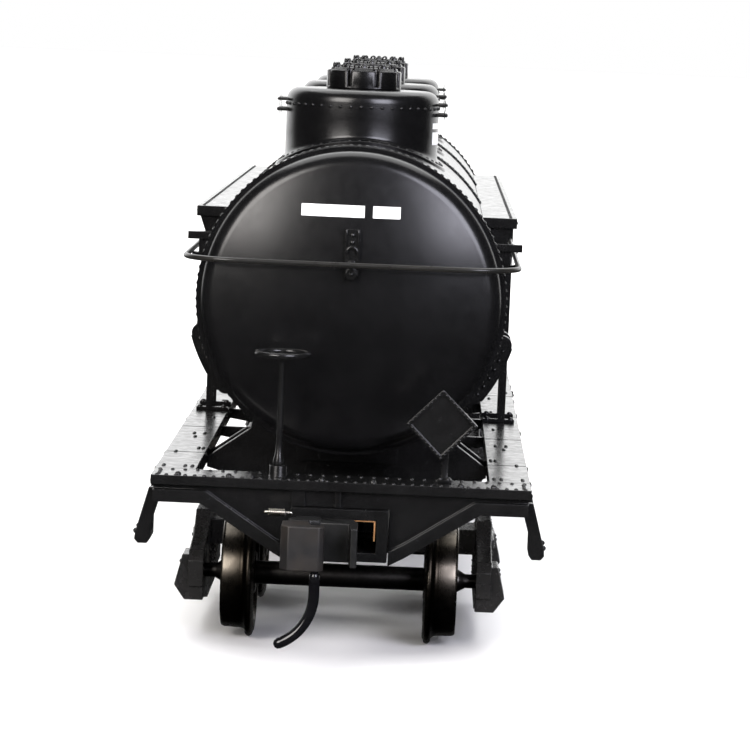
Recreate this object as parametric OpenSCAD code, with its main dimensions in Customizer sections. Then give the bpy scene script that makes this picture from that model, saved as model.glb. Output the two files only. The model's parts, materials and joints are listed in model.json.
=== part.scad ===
// Model tank wagon, three domes, H0 scale (1:87.1). Millimetres.
// +X runs along the wagon towards its handbrake end (B), +Z is up.
// The origin is under the middle of the wagon, at the bottom of the wheel flanges.

/* [Tank] */
// Length of the tank barrel without its heads
barrel_l = 102; // [96:1:104]
// Outer diameter of the tank barrel
tank_d = 26; // [25:0.1:26.2]
// Height of the tank's centre line
tank_z = 29.2; // [29:0.1:30]
// How far each head bulges beyond the barrel
head_bulge = 3; // [2.5:0.1:3.5]
// Wall thickness of the barrel
tank_wall = 1.2; // [1:0.1:1.5]

/* [Domes] */
// Distance from the middle dome to each end dome
dome_pitch = 35.4; // [34:0.2:36]
// Diameter of a dome
dome_d = 13.5; // [13:0.1:14.2]
// Height of a dome's crown
dome_top_z = 46.8; // [46:0.1:47.5]
// Diameter of a dome's hatch cover
hatch_d = 6.6; // [6:0.1:7]
// Height of a hatch cover
hatch_h = 1.9; // [1.6:0.1:2.2]

/* [Platforms, ladders and handrails] */
// Height of the walkway beside the domes
platform_z = 36.2; // [36:0.1:36.8]
// Distance from the centre line to the outer edge of a dome walkway
platform_y = 14; // [13.9:0.05:14.4]
// Length of a dome walkway
platform_l = 82; // [78:1:90]
// Where the ladders stand along the wagon
ladder_x = 11.7; // [8:0.1:14]
// Height of the handrail
rail_z = 32.6; // [32:0.1:33]
// Diameter of the handrail wire
wire_d = 0.46; // [0.4:0.02:0.5]

/* [Underframe] */
// Length over the end sills
frame_l = 120; // [118:1:124]
// Width over the running boards
frame_w = 31.4; // [31:0.1:32]
// Height of the running boards
deck_z = 15; // [14.8:0.1:15.2]
// Width of a running board
board_w = 3.45; // [3.2:0.05:3.6]
// Distance between the truck centres
truck_centres = 80; // [78:0.5:81]

/* [Couplers] */
// Height of the couplers' centre line
coupler_z = 10.6; // [10.5:0.05:10.7]
// Distance from the wagon's middle to a coupler's pivot
coupler_pivot_x = 51.6; // [51.4:0.1:52]

/* [Running gear] */
// Wheel diameter on the tread
tread_d = 9.62; // [9.5:0.02:9.8]
// Height of a wheel flange beyond the tread
flange_h = 0.69; // [0.6:0.01:0.72]
// Distance between the inner faces of a pair of wheels
back_to_back = 14.4; // [14.2:0.05:14.6]
// Width of a wheel
wheel_w = 2.8; // [2.6:0.1:2.9]
// Distance between the axles of one truck
wheelbase = 19.2; // [19:0.1:19.6]

/* [Hidden] */
$fn = 64;

B = 1;   // handbrake end
A = -1;  // other end
L = -1;  // left side, seen from in front of the handbrake end
R = 1;   // right side

tank_r = tank_d / 2;
wire_r = wire_d / 2;
axle_z = tread_d / 2 + flange_h;
truck_x = truck_centres / 2;
frame_x = frame_l / 2;
frame_y = frame_w / 2;

// The ladders' stiles
ladder_w = 4.6;
stile_x = 0.45;
stile_y = 0.67;

// The wire of the handrail
rail_y = 14.05;
rail_front_x = 55.6;
rail_corner_r = 4.5;
rail_corner_x = rail_front_x - rail_corner_r;

// Laps, where one sheet of the tank overlaps the next
lap_h = 0.12;
lap_w = 1.5;
lap_xs = [for (s = [-1, 1], x = [dome_pitch / 2, (barrel_l - lap_w) / 2]) s * x];

// The head: a shallow crown and a rounded knuckle
head_r = tank_r - 0.25;
knuckle_r = 1.6;
knuckle_y = head_r - knuckle_r;
crown_r = (knuckle_y * knuckle_y + head_bulge * head_bulge - knuckle_r * knuckle_r)
    / (2 * (head_bulge - knuckle_r));
head_skirt = 3;

// Domes
dome_r = dome_d / 2;
shoulder_r = 1.1;
dome_wall = 1;
dome_flange_w = 0.8;
dome_flange_t = 0.28;
hatch_bolt_r = 2.55;
hatch_lobes = 8;

// Underframe
plate_t = 0.6;
lip_h = 1.3;
lip_t = 0.35;
end_deck_l = 4.3;
board_in_y = frame_y - board_w;
board_l = frame_l - 2 * end_deck_l;
sill_top_z = deck_z - plate_t;
sill_bottom_z = 12.8;
sill_flange_z = [12.75, 13.8];
sill_y = 3.4;
belly_z = 11.2;
belly_x = 33;
outrigger_xs = [-21, -7, 7, 21];
bolster_plate_x = 2;
bolster_plate_t = 0.6;
wing_r = 14.7;
wing_top_a = -17;
wing_low_a = -38;
wing_foot_a = -62;

// Brake staff
staff_x = 57.6;
staff_y = -5.3;
staff_r = 0.26;
brake_wheel_z = 25.2;
brake_wheel_r = 2.4;

// Draft box and coupler
box_y = 4;
box_bottom_z = 8.5;
box_back_x = 48.9;
box_front_x = 60.2;
mouth_y = 3.05;
mouth_h = 2.7;
cavity_y = 3.4;
post_r = 1.17;
eye_r = 1.25;
shank_y = 1.05;
knuckle_pin_x = 11.6;
knuckle_pin_y = -3.1;
knuckle_pin_r = 0.42;
trip_pin_x = 15.6;
trip_pin_y = -1.65;
trip_pin_r = 0.45;
knuckle_h = 3.6;
spigot_r = 0.3;
spigot_top = -0.9;
fit = 0.05;

// Trucks
side_in_y = 11.6;
side_t = 1.3;
journal_out_y = 14.1;
journal_r = 0.6;
axle_r = 1;
axle_tip_y = 12.8;
king_r = 1.15;
king_hole_r = 1.22;
truck_bolster_top = 10.4;
truck_bolster_low = 6.6;
king_seat_z = 7.6;

black = [0.10, 0.10, 0.11];
steel = [0.62, 0.60, 0.57];
bronze = [0.72, 0.45, 0.24];

// Turns what is drawn for the handbrake end round to the other end
module at_end(s) {
    rotate([0, 0, s == B ? 0 : 180]) children();
}

// A box from its two corners
module box(low, high) {
    translate(low) cube(high - low);
}

// A rod along X, Y or Z between two distances
module rod_x(r, x0, x1, y, z) {
    translate([x0, y, z]) rotate([0, 90, 0]) cylinder(r = r, h = x1 - x0);
}
module rod_y(r, x, y0, y1, z) {
    translate([x, y0, z]) rotate([-90, 0, 0]) cylinder(r = r, h = y1 - y0);
}
module rod_z(r, x, y, z0, z1) {
    translate([x, y, z0]) cylinder(r = r, h = z1 - z0);
}

// Extrudes an outline drawn in Y and Z along X
module plate_yz(x0, x1) {
    translate([x0, 0, 0]) rotate([90, 0, 90]) linear_extrude(x1 - x0) children();
}

// Extrudes an outline drawn in X and Z along Y
module plate_xz(y0, y1) {
    translate([0, y1, 0]) rotate([90, 0, 0]) linear_extrude(y1 - y0) children();
}

// The space that the tank fills
module tank_space(extra = 0) {
    rod_x(tank_r + extra, -frame_x, frame_x, 0, tank_z);
}

// ---------------------------------------------------------------- tank

module tank_barrel() color(black) difference() {
    union() {
        rod_x(tank_r, -barrel_l / 2, barrel_l / 2, 0, tank_z, $fn = 128);
        for (x = lap_xs)
            rod_x(tank_r + lap_h, x - lap_w / 2, x + lap_w / 2, 0, tank_z, $fn = 128);
    }
    rod_x(tank_r - tank_wall, -frame_x, frame_x, 0, tank_z, $fn = 128);
}

// Half the section of a head: crown, knuckle and skirt
module head_section() {
    crown_y = head_bulge - crown_r;
    touch_r = knuckle_y * crown_r / (crown_r - knuckle_r);
    touch_y = crown_y + sqrt(crown_r * crown_r - touch_r * touch_r);
    edge_y = crown_y + sqrt(crown_r * crown_r - knuckle_y * knuckle_y);
    intersection() {
        translate([0, crown_y]) circle(r = crown_r, $fn = 256);
        union() {
            square([knuckle_y, head_bulge + 1]);
            polygon([[knuckle_y, 0], [knuckle_y, edge_y], [touch_r, touch_y], [touch_r, 0]]);
            intersection() {
                translate([knuckle_y, 0]) circle(r = knuckle_r);
                translate([knuckle_y, 0]) square(knuckle_r);
            }
        }
    }
    translate([0, -head_skirt]) square([tank_r - tank_wall, head_skirt]);
}

module tank_head(s) color(black)
    at_end(s) translate([barrel_l / 2, 0, tank_z]) rotate([0, 90, 0])
        rotate_extrude($fn = 128) head_section();

module tank_head_b() tank_head(B);
module tank_head_a() tank_head(A);

// ---------------------------------------------------------------- domes

// Half the section of a dome, with a rounded shoulder
module dome_section() {
    h = dome_top_z - tank_z;
    square([dome_r, h - shoulder_r]);
    square([dome_r - shoulder_r, h]);
    translate([dome_r - shoulder_r, h - shoulder_r]) circle(r = shoulder_r);
}

module dome(x) color(black) {
    difference() {
        translate([x, 0, tank_z]) rotate_extrude($fn = 96) dome_section();
        translate([x, 0, tank_z - 1])
            cylinder(r = dome_r - dome_wall, h = dome_top_z - tank_z - dome_wall + 1);
        tank_space();
    }
    intersection() {
        difference() {
            rod_z(dome_r + dome_flange_w, x, 0, tank_z, dome_top_z);
            rod_z(dome_r - 0.1, x, 0, tank_z - 1, dome_top_z + 1);
        }
        difference() {
            tank_space(dome_flange_t);
            tank_space();
        }
    }
}

module dome_b() dome(dome_pitch);
module dome_centre() dome(0);
module dome_a() dome(-dome_pitch);

// Bolted cover with eight lobes
module hatch(x) color(black) {
    lobe_slot_w = 0.32;
    lobe_slot_d = 0.6;
    difference() {
        union() {
            rod_z(hatch_d / 2, x, 0, dome_top_z, dome_top_z + hatch_h - 0.25);
            rod_z(hatch_d / 2 - 0.35, x, 0, dome_top_z, dome_top_z + hatch_h);
        }
        for (i = [0 : hatch_lobes - 1])
            translate([x, 0, dome_top_z]) rotate([0, 0, (i + 0.5) * 360 / hatch_lobes])
                box([hatch_d / 2 - lobe_slot_d, -lobe_slot_w / 2, 0.3],
                    [hatch_d, lobe_slot_w / 2, hatch_h + 1]);
    }
}

module hatch_b() hatch(dome_pitch);
module hatch_centre() hatch(0);
module hatch_a() hatch(-dome_pitch);

module hatch_bolts() color(black) {
    bolt_r = 0.38;
    bolt_h = 0.45;
    for (x = [-dome_pitch, 0, dome_pitch], i = [0 : hatch_lobes - 1])
        translate([x, 0, dome_top_z + hatch_h]) rotate([0, 0, i * 360 / hatch_lobes])
            translate([hatch_bolt_r, 0, 0]) cylinder(r = bolt_r, h = bolt_h, $fn = 6);
}

// One safety valve stands on each dome, on the side away from the handbrake
module safety_valves() color(black) {
    valve_dx = 5.1;
    for (x = [-dome_pitch, 0, dome_pitch]) {
        rod_z(0.85, x - valve_dx, 0, dome_top_z, dome_top_z + 0.35);
        rod_z(0.5, x - valve_dx, 0, dome_top_z, dome_top_z + 1.1);
        rod_z(0.7, x - valve_dx, 0, dome_top_z + 1.1, dome_top_z + 1.7);
    }
}

// Two grab irons, one above the other, on each side of each dome
module dome_grab_irons() color(black) {
    iron_l = 3.2;
    iron_out = 0.65;
    upper = [0.13, 45.7];
    lower = [0.16, 44.8];
    for (x = [-dome_pitch, 0, dome_pitch], side = [L, R], iron = [upper, lower])
        mirror([0, side == L ? 1 : 0, 0]) {
            out_y = dome_r + iron_out;
            rod_x(iron[0], x - iron_l / 2, x + iron_l / 2, out_y, iron[1], $fn = 24);
            difference() {
                for (end = [-1, 1])
                    rod_y(iron[0], x + end * (iron_l / 2 - iron[0]), dome_r - 0.8, out_y, iron[1],
                          $fn = 24);
                rod_z(dome_r - 0.01, x, 0, tank_z, dome_top_z, $fn = 96);
            }
        }
}

// ------------------------------------------- platforms, ladders and handrails

module platform(side) color(black) {
    tread_t = 0.35;
    fascia_h = 0.9;
    fascia_t = 0.35;
    gusset_t = 0.5;
    gusset_foot_z = 33.6;
    half_l = platform_l / 2;
    gusset_xs = [for (i = [-2 : 2]) i * (half_l - gusset_t) / 2];
    mirror([0, side == L ? 1 : 0, 0]) difference() {
        union() {
            box([-half_l, 9, platform_z - tread_t], [half_l, platform_y, platform_z]);
            box([-half_l, platform_y - fascia_t, platform_z - fascia_h],
                [half_l, platform_y, platform_z]);
            for (x = [-half_l, half_l - fascia_t])
                box([x, 9, platform_z - fascia_h], [x + fascia_t, platform_y, platform_z]);
            for (x = gusset_xs)
                plate_yz(x - gusset_t / 2, x + gusset_t / 2)
                    polygon([[9, gusset_foot_z], [13.1, gusset_foot_z],
                             [platform_y - 0.3, platform_z - fascia_h],
                             [platform_y - 0.3, platform_z - tread_t], [9, platform_z - tread_t]]);
        }
        tank_space();
    }
}

module platform_left() platform(L);
module platform_right() platform(R);

module ladder(side) color(black) {
    rung_r = 0.16;
    rung_pitch = 3.3;
    rungs = 5;
    top_z = platform_z - 0.9;
    strap_h = 0.35;
    mirror([0, side == L ? 1 : 0, 0]) {
        for (dx = [-ladder_w / 2, ladder_w / 2]) {
            box([ladder_x + dx - stile_x / 2, rail_y - stile_y / 2, deck_z],
                [ladder_x + dx + stile_x / 2, rail_y + stile_y / 2, top_z]);
            box([ladder_x + dx - stile_x / 2, board_in_y, deck_z],
                [ladder_x + dx + stile_x / 2, frame_y - 0.4, deck_z + strap_h]);
        }
        for (i = [1 : rungs])
            rod_x(rung_r, ladder_x - ladder_w / 2, ladder_x + ladder_w / 2, rail_y,
                  deck_z + i * rung_pitch, $fn = 24);
    }
}

module ladder_left() ladder(L);
module ladder_right() ladder(R);

// Side wires run from the corners of the tank to the ladder's stiles
module handrail_side(side) color(black) {
    stile_face = (ladder_w + stile_x) / 2;
    rod_x(wire_r, ladder_x + stile_face, rail_corner_x, side * rail_y, rail_z, $fn = 24);
    rod_x(wire_r, -rail_corner_x, ladder_x - stile_face, side * rail_y, rail_z, $fn = 24);
}

module handrail_left() handrail_side(L);
module handrail_right() handrail_side(R);

// End wires pass in front of the head, with a round corner at each side
module handrail_end(s) color(black)
    at_end(s) {
        rod_y(wire_r, rail_front_x, rail_corner_r - rail_y, rail_y - rail_corner_r, rail_z,
              $fn = 24);
        for (side = [L, R]) mirror([0, side == L ? 1 : 0, 0])
            translate([rail_corner_x, rail_y - rail_corner_r, rail_z])
                rotate_extrude(angle = 90, $fn = 64)
                    translate([rail_corner_r, 0]) circle(r = wire_r, $fn = 24);
    }

module handrail_end_b() handrail_end(B);
module handrail_end_a() handrail_end(A);

// Posts that hold the wire to the tank's sides, and a bracket on each head
module handrail_posts() color(black) {
    post_out_y = 14.45;
    lug_h = 0.65;
    crown_x = barrel_l / 2 + head_bulge;
    for (x = [-44, 44], side = [L, R]) mirror([0, side == L ? 1 : 0, 0]) difference() {
        union() {
            box([x - 0.5, 11.8, rail_z + 0.9], [x + 0.5, post_out_y, rail_z + 0.9 + lug_h]);
            box([x - 0.3, 11.8, rail_z - 0.6], [x + 0.3, 13.5, rail_z + 1.2]);
            box([x - 0.5, 11.8, rail_z - 0.6], [x + 0.5, rail_y, rail_z - wire_r]);
        }
        tank_space();
    }
    for (x = [-29, -5, 29], side = [L, R]) mirror([0, side == L ? 1 : 0, 0]) difference() {
        union() {
            rod_y(0.25, x, 11.8, rail_y - 0.3, rail_z);
            rod_x(0.45, x - 0.3, x + 0.3, rail_y, rail_z, $fn = 24);
        }
        tank_space();
        rod_x(wire_r, x - 1, x + 1, rail_y, rail_z, $fn = 24);
    }
    for (s = [B, A]) at_end(s) difference() {
        union() {
            box([crown_x - 1, -0.62, rail_z - 1.2], [crown_x + 0.25, 0.62, rail_z + 2.9]);
            rod_x(0.5, crown_x - 0.5, crown_x + 0.6, 0, rail_z - 0.85);
            rod_x(0.28, crown_x - 0.5, rail_front_x, 0, rail_z);
        }
        translate([crown_x - crown_r, 0, tank_z]) sphere(r = crown_r, $fn = 256);
        rod_y(wire_r, rail_front_x, -2, 2, rail_z, $fn = 24);
    }
}

// ---------------------------------------------------------------- underframe

module centre_sill() color(black) {
    flange_t = 0.5;
    web_y = 2.4;
    web_t = 0.5;
    sill_end = frame_x - 1.1;
    box([-sill_end, -sill_y, sill_top_z - flange_t], [sill_end, sill_y, sill_top_z]);
    for (side = [L, R]) mirror([0, side == L ? 1 : 0, 0]) {
        box([-sill_end, web_y, sill_bottom_z], [sill_end, web_y + web_t, sill_top_z - flange_t]);
        plate_xz(web_y, web_y + web_t)
            polygon([[-belly_x, sill_bottom_z], [5 - belly_x, belly_z],
                     [belly_x - 5, belly_z], [belly_x, sill_bottom_z]]);
        box([5 - belly_x, web_y, belly_z], [belly_x - 5, sill_y, belly_z + flange_t]);
        for (x = outrigger_xs)
            plate_yz(x - 0.3, x + 0.3)
                polygon([[web_y + web_t, sill_top_z], [web_y + web_t, 12], [frame_y - 0.6, 13.9],
                         [frame_y - 0.6, sill_top_z]]);
    }
}

// Half outlines in Y and Z of an end sill's web, and of the flange along its lower edge
sill_web = [[0, sill_top_z], [0, sill_bottom_z], [box_y + 0.1, sill_bottom_z],
            [box_y + 0.1, 8.2], [5.4, 8.9], [11.55, sill_flange_z[0]],
            [frame_y - 0.2, sill_flange_z[0]], [frame_y - 0.2, sill_top_z]];
sill_flange = [[box_y + 0.1, 8.2], [5.4, 8.9], [11.55, sill_flange_z[0]],
               [frame_y - 0.2, sill_flange_z[0]], [frame_y - 0.2, sill_flange_z[1]],
               [11.1, sill_flange_z[1]], [5.4, 10.1], [box_y + 0.1, 9.4]];

module end_sill(s) color(black)
    at_end(s) {
        web_x = frame_x - 1.1;
        fascia_h = 0.8;
        // deck plate and its fascia
        difference() {
            box([frame_x - end_deck_l, -frame_y, sill_top_z], [frame_x, frame_y, deck_z]);
            if (s == B) rod_z(staff_r + fit, staff_x, staff_y, sill_top_z - 1, deck_z + 1);
        }
        box([frame_x - lip_t, -frame_y, deck_z - fascia_h], [frame_x, frame_y, sill_top_z]);
        // web and flange
        for (side = [L, R]) mirror([0, side == L ? 1 : 0, 0]) {
            plate_yz(web_x, web_x + 0.5) polygon(sill_web);
            plate_yz(frame_x - 1.8, frame_x) polygon(sill_flange);
        }
        // ribs above the draft box
        box([web_x + 0.5, -4.1, sill_bottom_z], [frame_x - lip_t, -2.9, sill_top_z]);
        box([web_x + 0.5, -0.5, sill_bottom_z], [frame_x - lip_t, 0.1, sill_top_z]);
        // foot bearing of the brake staff
        if (s == B) difference() {
            rod_z(0.75, staff_x, staff_y, sill_top_z, deck_z + 0.9);
            rod_z(staff_r + fit, staff_x, staff_y, sill_top_z - 1, deck_z + 1, $fn = 32);
        }
    }

module end_sill_b() end_sill(B);
module end_sill_a() end_sill(A);

module running_board(side) color(black) {
    seam_w = 0.25;
    seam_d = 0.12;
    seam_pitch = 18;
    mirror([0, side == L ? 1 : 0, 0]) difference() {
        union() {
            box([-board_l / 2, board_in_y, sill_top_z], [board_l / 2, frame_y, deck_z]);
            box([-board_l / 2, frame_y - lip_t, deck_z - lip_h],
                [board_l / 2, frame_y, sill_top_z]);
            box([-board_l / 2, board_in_y, deck_z - lip_h],
                [board_l / 2, board_in_y + lip_t, sill_top_z]);
        }
        for (i = [-2.5 : 1 : 2.5])
            box([i * seam_pitch - seam_w / 2, board_in_y - 1, deck_z - seam_d],
                [i * seam_pitch + seam_w / 2, frame_y + 1, deck_z + 1]);
        for (x = outrigger_xs)
            box([x - 0.35, board_in_y - 1, deck_z - lip_h - 1], [x + 0.35, frame_y - 0.5, sill_top_z]);
    }
}

module running_board_left() running_board(L);
module running_board_right() running_board(R);

// A sector of a ring round the tank, on the right side
module saddle_sector(r, from_a, to_a) {
    reach = 2 * r;
    translate([0, tank_z]) intersection() {
        circle(r = r, $fn = 128);
        polygon([[0, 0], reach * [cos(from_a), sin(from_a)],
                 reach * [cos((from_a + to_a) / 2), sin((from_a + to_a) / 2)],
                 reach * [cos(to_a), sin(to_a)]]);
    }
}

// One of the two plates of a bolster, with the saddle's wing and its rounded ends
module bolster_outline() {
    end_r = (wing_r - tank_r) / 2;
    for (a = [wing_top_a, wing_low_a])
        translate([0, tank_z]) rotate(a) translate([wing_r - end_r - 0.1, 0]) circle(r = end_r);
    saddle_sector(wing_r, wing_low_a, wing_top_a);
    saddle_sector(tank_r + 0.9, wing_foot_a, wing_low_a);
    polygon([[0, belly_z + 0.5], [6, belly_z + 0.5], [board_in_y, 13.4],
             [board_in_y, 14.3], [8.5, 17], [8, 20], [0, 20]]);
}

module bolster(s) color(black)
    at_end(s) translate([truck_x, 0, 0]) {
        difference() {
            union() {
                for (side = [L, R]) mirror([0, side == L ? 1 : 0, 0]) {
                    for (x = [-bolster_plate_x, bolster_plate_x])
                        plate_yz(x - bolster_plate_t / 2, x + bolster_plate_t / 2)
                            bolster_outline();
                    plate_yz(-2.6, 2.6) saddle_sector(tank_r + 0.4, wing_foot_a, wing_top_a);
                    box([-1.7, 8.2, belly_z + 1], [1.7, 8.8, 17]);
                }
                box([-3, -6, belly_z], [3, 6, belly_z + 0.5]);
                box([-3, -sill_y - 1, sill_top_z], [3, sill_y + 1, tank_z - tank_r + 0.5]);
                rod_z(2.6, 0, 0, truck_bolster_top + 0.1, sill_bottom_z);
            }
            translate([-truck_x, 0, 0]) tank_space();
            // room for the centre sill
            box([-4, -sill_y, sill_bottom_z], [4, sill_y, sill_top_z]);
            rod_z(king_r, 0, 0, belly_z - 2, sill_bottom_z + 1);
        }
    }

module bolster_b() bolster(B);
module bolster_a() bolster(A);

// Steel bar inside the tank that brings the wagon to its running weight
module ballast_weight() color(steel) {
    bar_l = 86;
    bar_w = 13;
    bar_h = 6;
    bar_z = tank_z - sqrt(pow(tank_r - tank_wall, 2) - pow(bar_w / 2, 2));
    box([-bar_l / 2, -bar_w / 2, bar_z], [bar_l / 2, bar_w / 2, bar_z + bar_h]);
}

// Stirrup steps under the four corners: two legs that lean outwards to a tread
module sill_steps() color(black) {
    step_l = 3.4;
    leg_w = 0.6;
    step_x = frame_x - 1.8 - step_l;
    lip_y = frame_y - lip_t;
    lip_z = deck_z - lip_h;
    leg = [[lip_y - 0.4, sill_top_z], [lip_y, sill_top_z], [lip_y, lip_z], [15.95, lip_z],
           [16.95, 10], [17.05, 9.3], [16.75, 8.95], [16, 8.95], [15.7, 9.35], [15.7, 10.9],
           [15.2, 12.6], [lip_y - 0.4, 13]];
    tread = [[16.97, 9.85], [17.05, 9.3], [16.75, 8.95], [16, 8.95], [15.7, 9.35], [15.7, 9.85]];
    for (s = [B, A], side = [L, R]) at_end(s) mirror([0, side == L ? 1 : 0, 0]) {
        for (x = [step_x, step_x + step_l - leg_w]) plate_yz(x, x + leg_w) polygon(leg);
        plate_yz(step_x, step_x + step_l) polygon(tread);
    }
}

// Square boards standing on one corner, one on each end sill
module placard_boards() color(black) {
    board_side = 4.2;
    board_y = 8.1;
    board_z = 19.85;
    board_x = 57.4;
    rim = 0.3;
    for (s = [B, A]) at_end(s) {
        translate([board_x, board_y, board_z]) rotate([45, 0, 0]) difference() {
            box([0, -board_side / 2, -board_side / 2], [0.5, board_side / 2, board_side / 2]);
            box([0.35, rim - board_side / 2, rim - board_side / 2],
                [1, board_side / 2 - rim, board_side / 2 - rim]);
        }
        box([board_x - 0.25, board_y + 0.1, deck_z], [board_x, board_y + 0.65, board_z + 0.5]);
        box([board_x - 0.5, board_y - 0.25, deck_z], [board_x + 0.4, board_y + 1, deck_z + 0.3]);
    }
}

module mounting_screws() color(steel) {
    head_r = 1.95;
    box_head_r = 1.4;
    slot = 0.4;
    for (s = [B, A]) at_end(s) {
        difference() {
            union() {
                rod_z(head_r, truck_x, 0, king_seat_z - 0.8, king_seat_z - 0.1);
                rod_z(king_r, truck_x, 0, king_seat_z - 0.1, sill_bottom_z);
            }
            box([truck_x - 3, -slot / 2, king_seat_z - 1], [truck_x + 3, slot / 2, king_seat_z - 0.5]);
        }
        difference() {
            union() {
                rod_z(box_head_r, coupler_pivot_x, 0, box_bottom_z - 0.6, box_bottom_z);
                rod_z(0.7, coupler_pivot_x, 0, box_bottom_z, sill_bottom_z);
            }
            box([coupler_pivot_x - 3, -slot / 2, box_bottom_z - 1],
                [coupler_pivot_x + 3, slot / 2, box_bottom_z - 0.35]);
        }
    }
}

// ---------------------------------------------------------------- couplers

module draft_box(s) color(black)
    at_end(s) {
        low_z = coupler_z - mouth_h / 2;
        high_z = coupler_z + mouth_h / 2;
        difference() {
            box([box_back_x, -box_y, box_bottom_z], [box_front_x, box_y, sill_bottom_z]);
            box([box_back_x + 0.5, -cavity_y, low_z], [box_front_x - 0.6, cavity_y, high_z]);
            box([box_back_x + 1, -mouth_y, low_z], [box_front_x + 1, mouth_y, high_z]);
            rod_z(0.7, coupler_pivot_x, 0, box_bottom_z - 1, sill_bottom_z + 1);
        }
        difference() {
            rod_z(post_r, coupler_pivot_x, 0, low_z, high_z);
            rod_z(0.7, coupler_pivot_x, 0, low_z - 1, high_z + 1);
        }
    }

module draft_box_b() draft_box(B);
module draft_box_a() draft_box(A);

// Folded bronze leaf in each draft box: a roof and two cheeks that centre the shank
module centring_springs() color(bronze) {
    leaf_t = 0.14;
    leaf_y = 2.98;
    low_z = coupler_z - 0.4;
    high_z = coupler_z + mouth_h / 2;
    for (s = [B, A]) at_end(s) {
        box([coupler_pivot_x + 2.6, -leaf_y, high_z - leaf_t], [box_front_x - 0.3, leaf_y, high_z]);
        for (side = [L, R]) mirror([0, side == L ? 1 : 0, 0])
            box([coupler_pivot_x + 2.6, leaf_y - leaf_t, low_z],
                [box_front_x - 0.3, leaf_y, high_z - leaf_t]);
    }
}

// Everything of a coupler is drawn from its pivot, pointing along +X
module at_coupler(s) {
    at_end(s) translate([coupler_pivot_x, 0, coupler_z]) children();
}

module coupler(s) color(black)
    at_coupler(s) difference() {
        union() {
            rod_z(1.9, 0, 0, -0.7, 0.7);
            box([1, -shank_y, -0.9], [10.2, shank_y, 0.9]);
            // head with its lugs for the knuckle
            translate([0, 0, -1.6]) linear_extrude(3.2)
                polygon([[9.8, -2], [12, -2], [12.3, -1], [12.3, 0.9], [15, 1.1], [15, 1.65],
                         [11.4, 1.6], [9.8, 1.2]]);
            for (z = [-1.75, 1.15]) {
                rod_z(1, knuckle_pin_x, knuckle_pin_y, z, z + 0.6);
                box([10, -3.5, z], [12.2, -1.5, z + 0.6]);
            }
            rod_z(knuckle_pin_r, knuckle_pin_x, knuckle_pin_y, -1.75, 1.75, $fn = 32);
        }
        rod_z(eye_r, 0, 0, -2, 2);
    }

module coupler_b() coupler(B);
module coupler_a() coupler(A);

// The hooked knuckle turns on the pin between the head's lugs
module knuckle(s) color(black)
    at_coupler(s) difference() {
        union() {
            rod_z(0.95, knuckle_pin_x, knuckle_pin_y, -1.1, 1.1);
            translate([0, 0, -1.1]) linear_extrude(2.2)
                polygon([[knuckle_pin_x, -4.05], [13.2, -4.4], [13.2, -2.4], [12.4, -2.25],
                         [knuckle_pin_x, -2.15]]);
            translate([0, 0, -knuckle_h / 2]) linear_extrude(knuckle_h)
                polygon([[12.95, -4.2], [13.3, -4.5], [15.6, -4.5], [16.3, -3.9], [16.3, -1.4],
                         [15.95, -1], [15.1, -1], [14.8, -2.1], [13.6, -2.35],
                         [12.95, -2.35]]);
        }
        rod_z(knuckle_pin_r + fit, knuckle_pin_x, knuckle_pin_y, -3, 3, $fn = 32);
        rod_z(spigot_r, trip_pin_x, trip_pin_y, -2, spigot_top, $fn = 24);
    }

module knuckle_b() knuckle(B);
module knuckle_a() knuckle(A);

// Curved wire that hangs from the knuckle: a spigot, a straight stem and an arc
module trip_pin(s) color(black)
    at_coupler(s) translate([trip_pin_x, trip_pin_y, 0]) {
        bend_r = 4.4;
        bend_a = 72;
        stem_low = -3.5;
        rod_z(spigot_r, 0, 0, -knuckle_h / 2 - 0.1, spigot_top, $fn = 24);
        rod_z(trip_pin_r, 0, 0, stem_low, -knuckle_h / 2, $fn = 24);
        translate([0, -bend_r, stem_low]) rotate([0, 90, 0]) rotate([0, 0, 90])
            rotate_extrude(angle = -bend_a, $fn = 64) translate([bend_r, 0])
                circle(r = trip_pin_r, $fn = 24);
    }

module trip_pin_b() trip_pin(B);
module trip_pin_a() trip_pin(A);

// ---------------------------------------------------------------- brake gear

module brake_cylinder() color(black) {
    cyl_y = -8.2;
    cyl_z = 11.9;
    rod_x(1.9, -6, 1, cyl_y, cyl_z);
    rod_x(2.25, -0.6, 0, cyl_y, cyl_z);
    rod_x(2.25, 0.9, 1.4, cyl_y, cyl_z);
    rod_x(0.9, 1.4, 2.6, cyl_y, cyl_z);
    rod_x(0.35, 2.6, 6.4, cyl_y, cyl_z);
    box([-6.7, cyl_y - 1.2, 13], [-2.5, cyl_y + 1.2, 13.4]);
}

module air_reservoir() color(black) {
    res_y = 8.4;
    res_z = 11.4;
    res_r = 2.35;
    rod_x(res_r, -6, 6, res_y, res_z);
    for (s = [-1, 1]) translate([s * 6, res_y, res_z]) scale([0.28, 1, 1]) sphere(r = res_r);
    rod_x(res_r + 0.3, -0.4, 0.4, res_y, res_z);
    box([-6.6, res_y - 1.2, 13], [6.6, res_y + 1.2, 13.4]);
}

module control_valve() color(black) {
    valve_x = 13.2;
    box([valve_x - 1.6, -7.4, 9.8], [valve_x + 1.6, -4.6, 12.6]);
    rod_x(1.2, valve_x - 2.8, valve_x + 2.8, -6, 11.2);
    rod_y(1, valve_x, -8.3, -4, 10.8);
    rod_z(0.9, valve_x, -6, 9.2, 13.2);
    box([7.3, -6.6, 13.1], [valve_x + 1, -5.4, 13.5]);
}

module brake_staff() color(black) {
    rod_z(staff_r, staff_x, staff_y, sill_top_z, brake_wheel_z + 0.15, $fn = 32);
    rod_z(0.45, staff_x, staff_y, deck_z + 1, deck_z + 1.5, $fn = 32);
}

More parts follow.
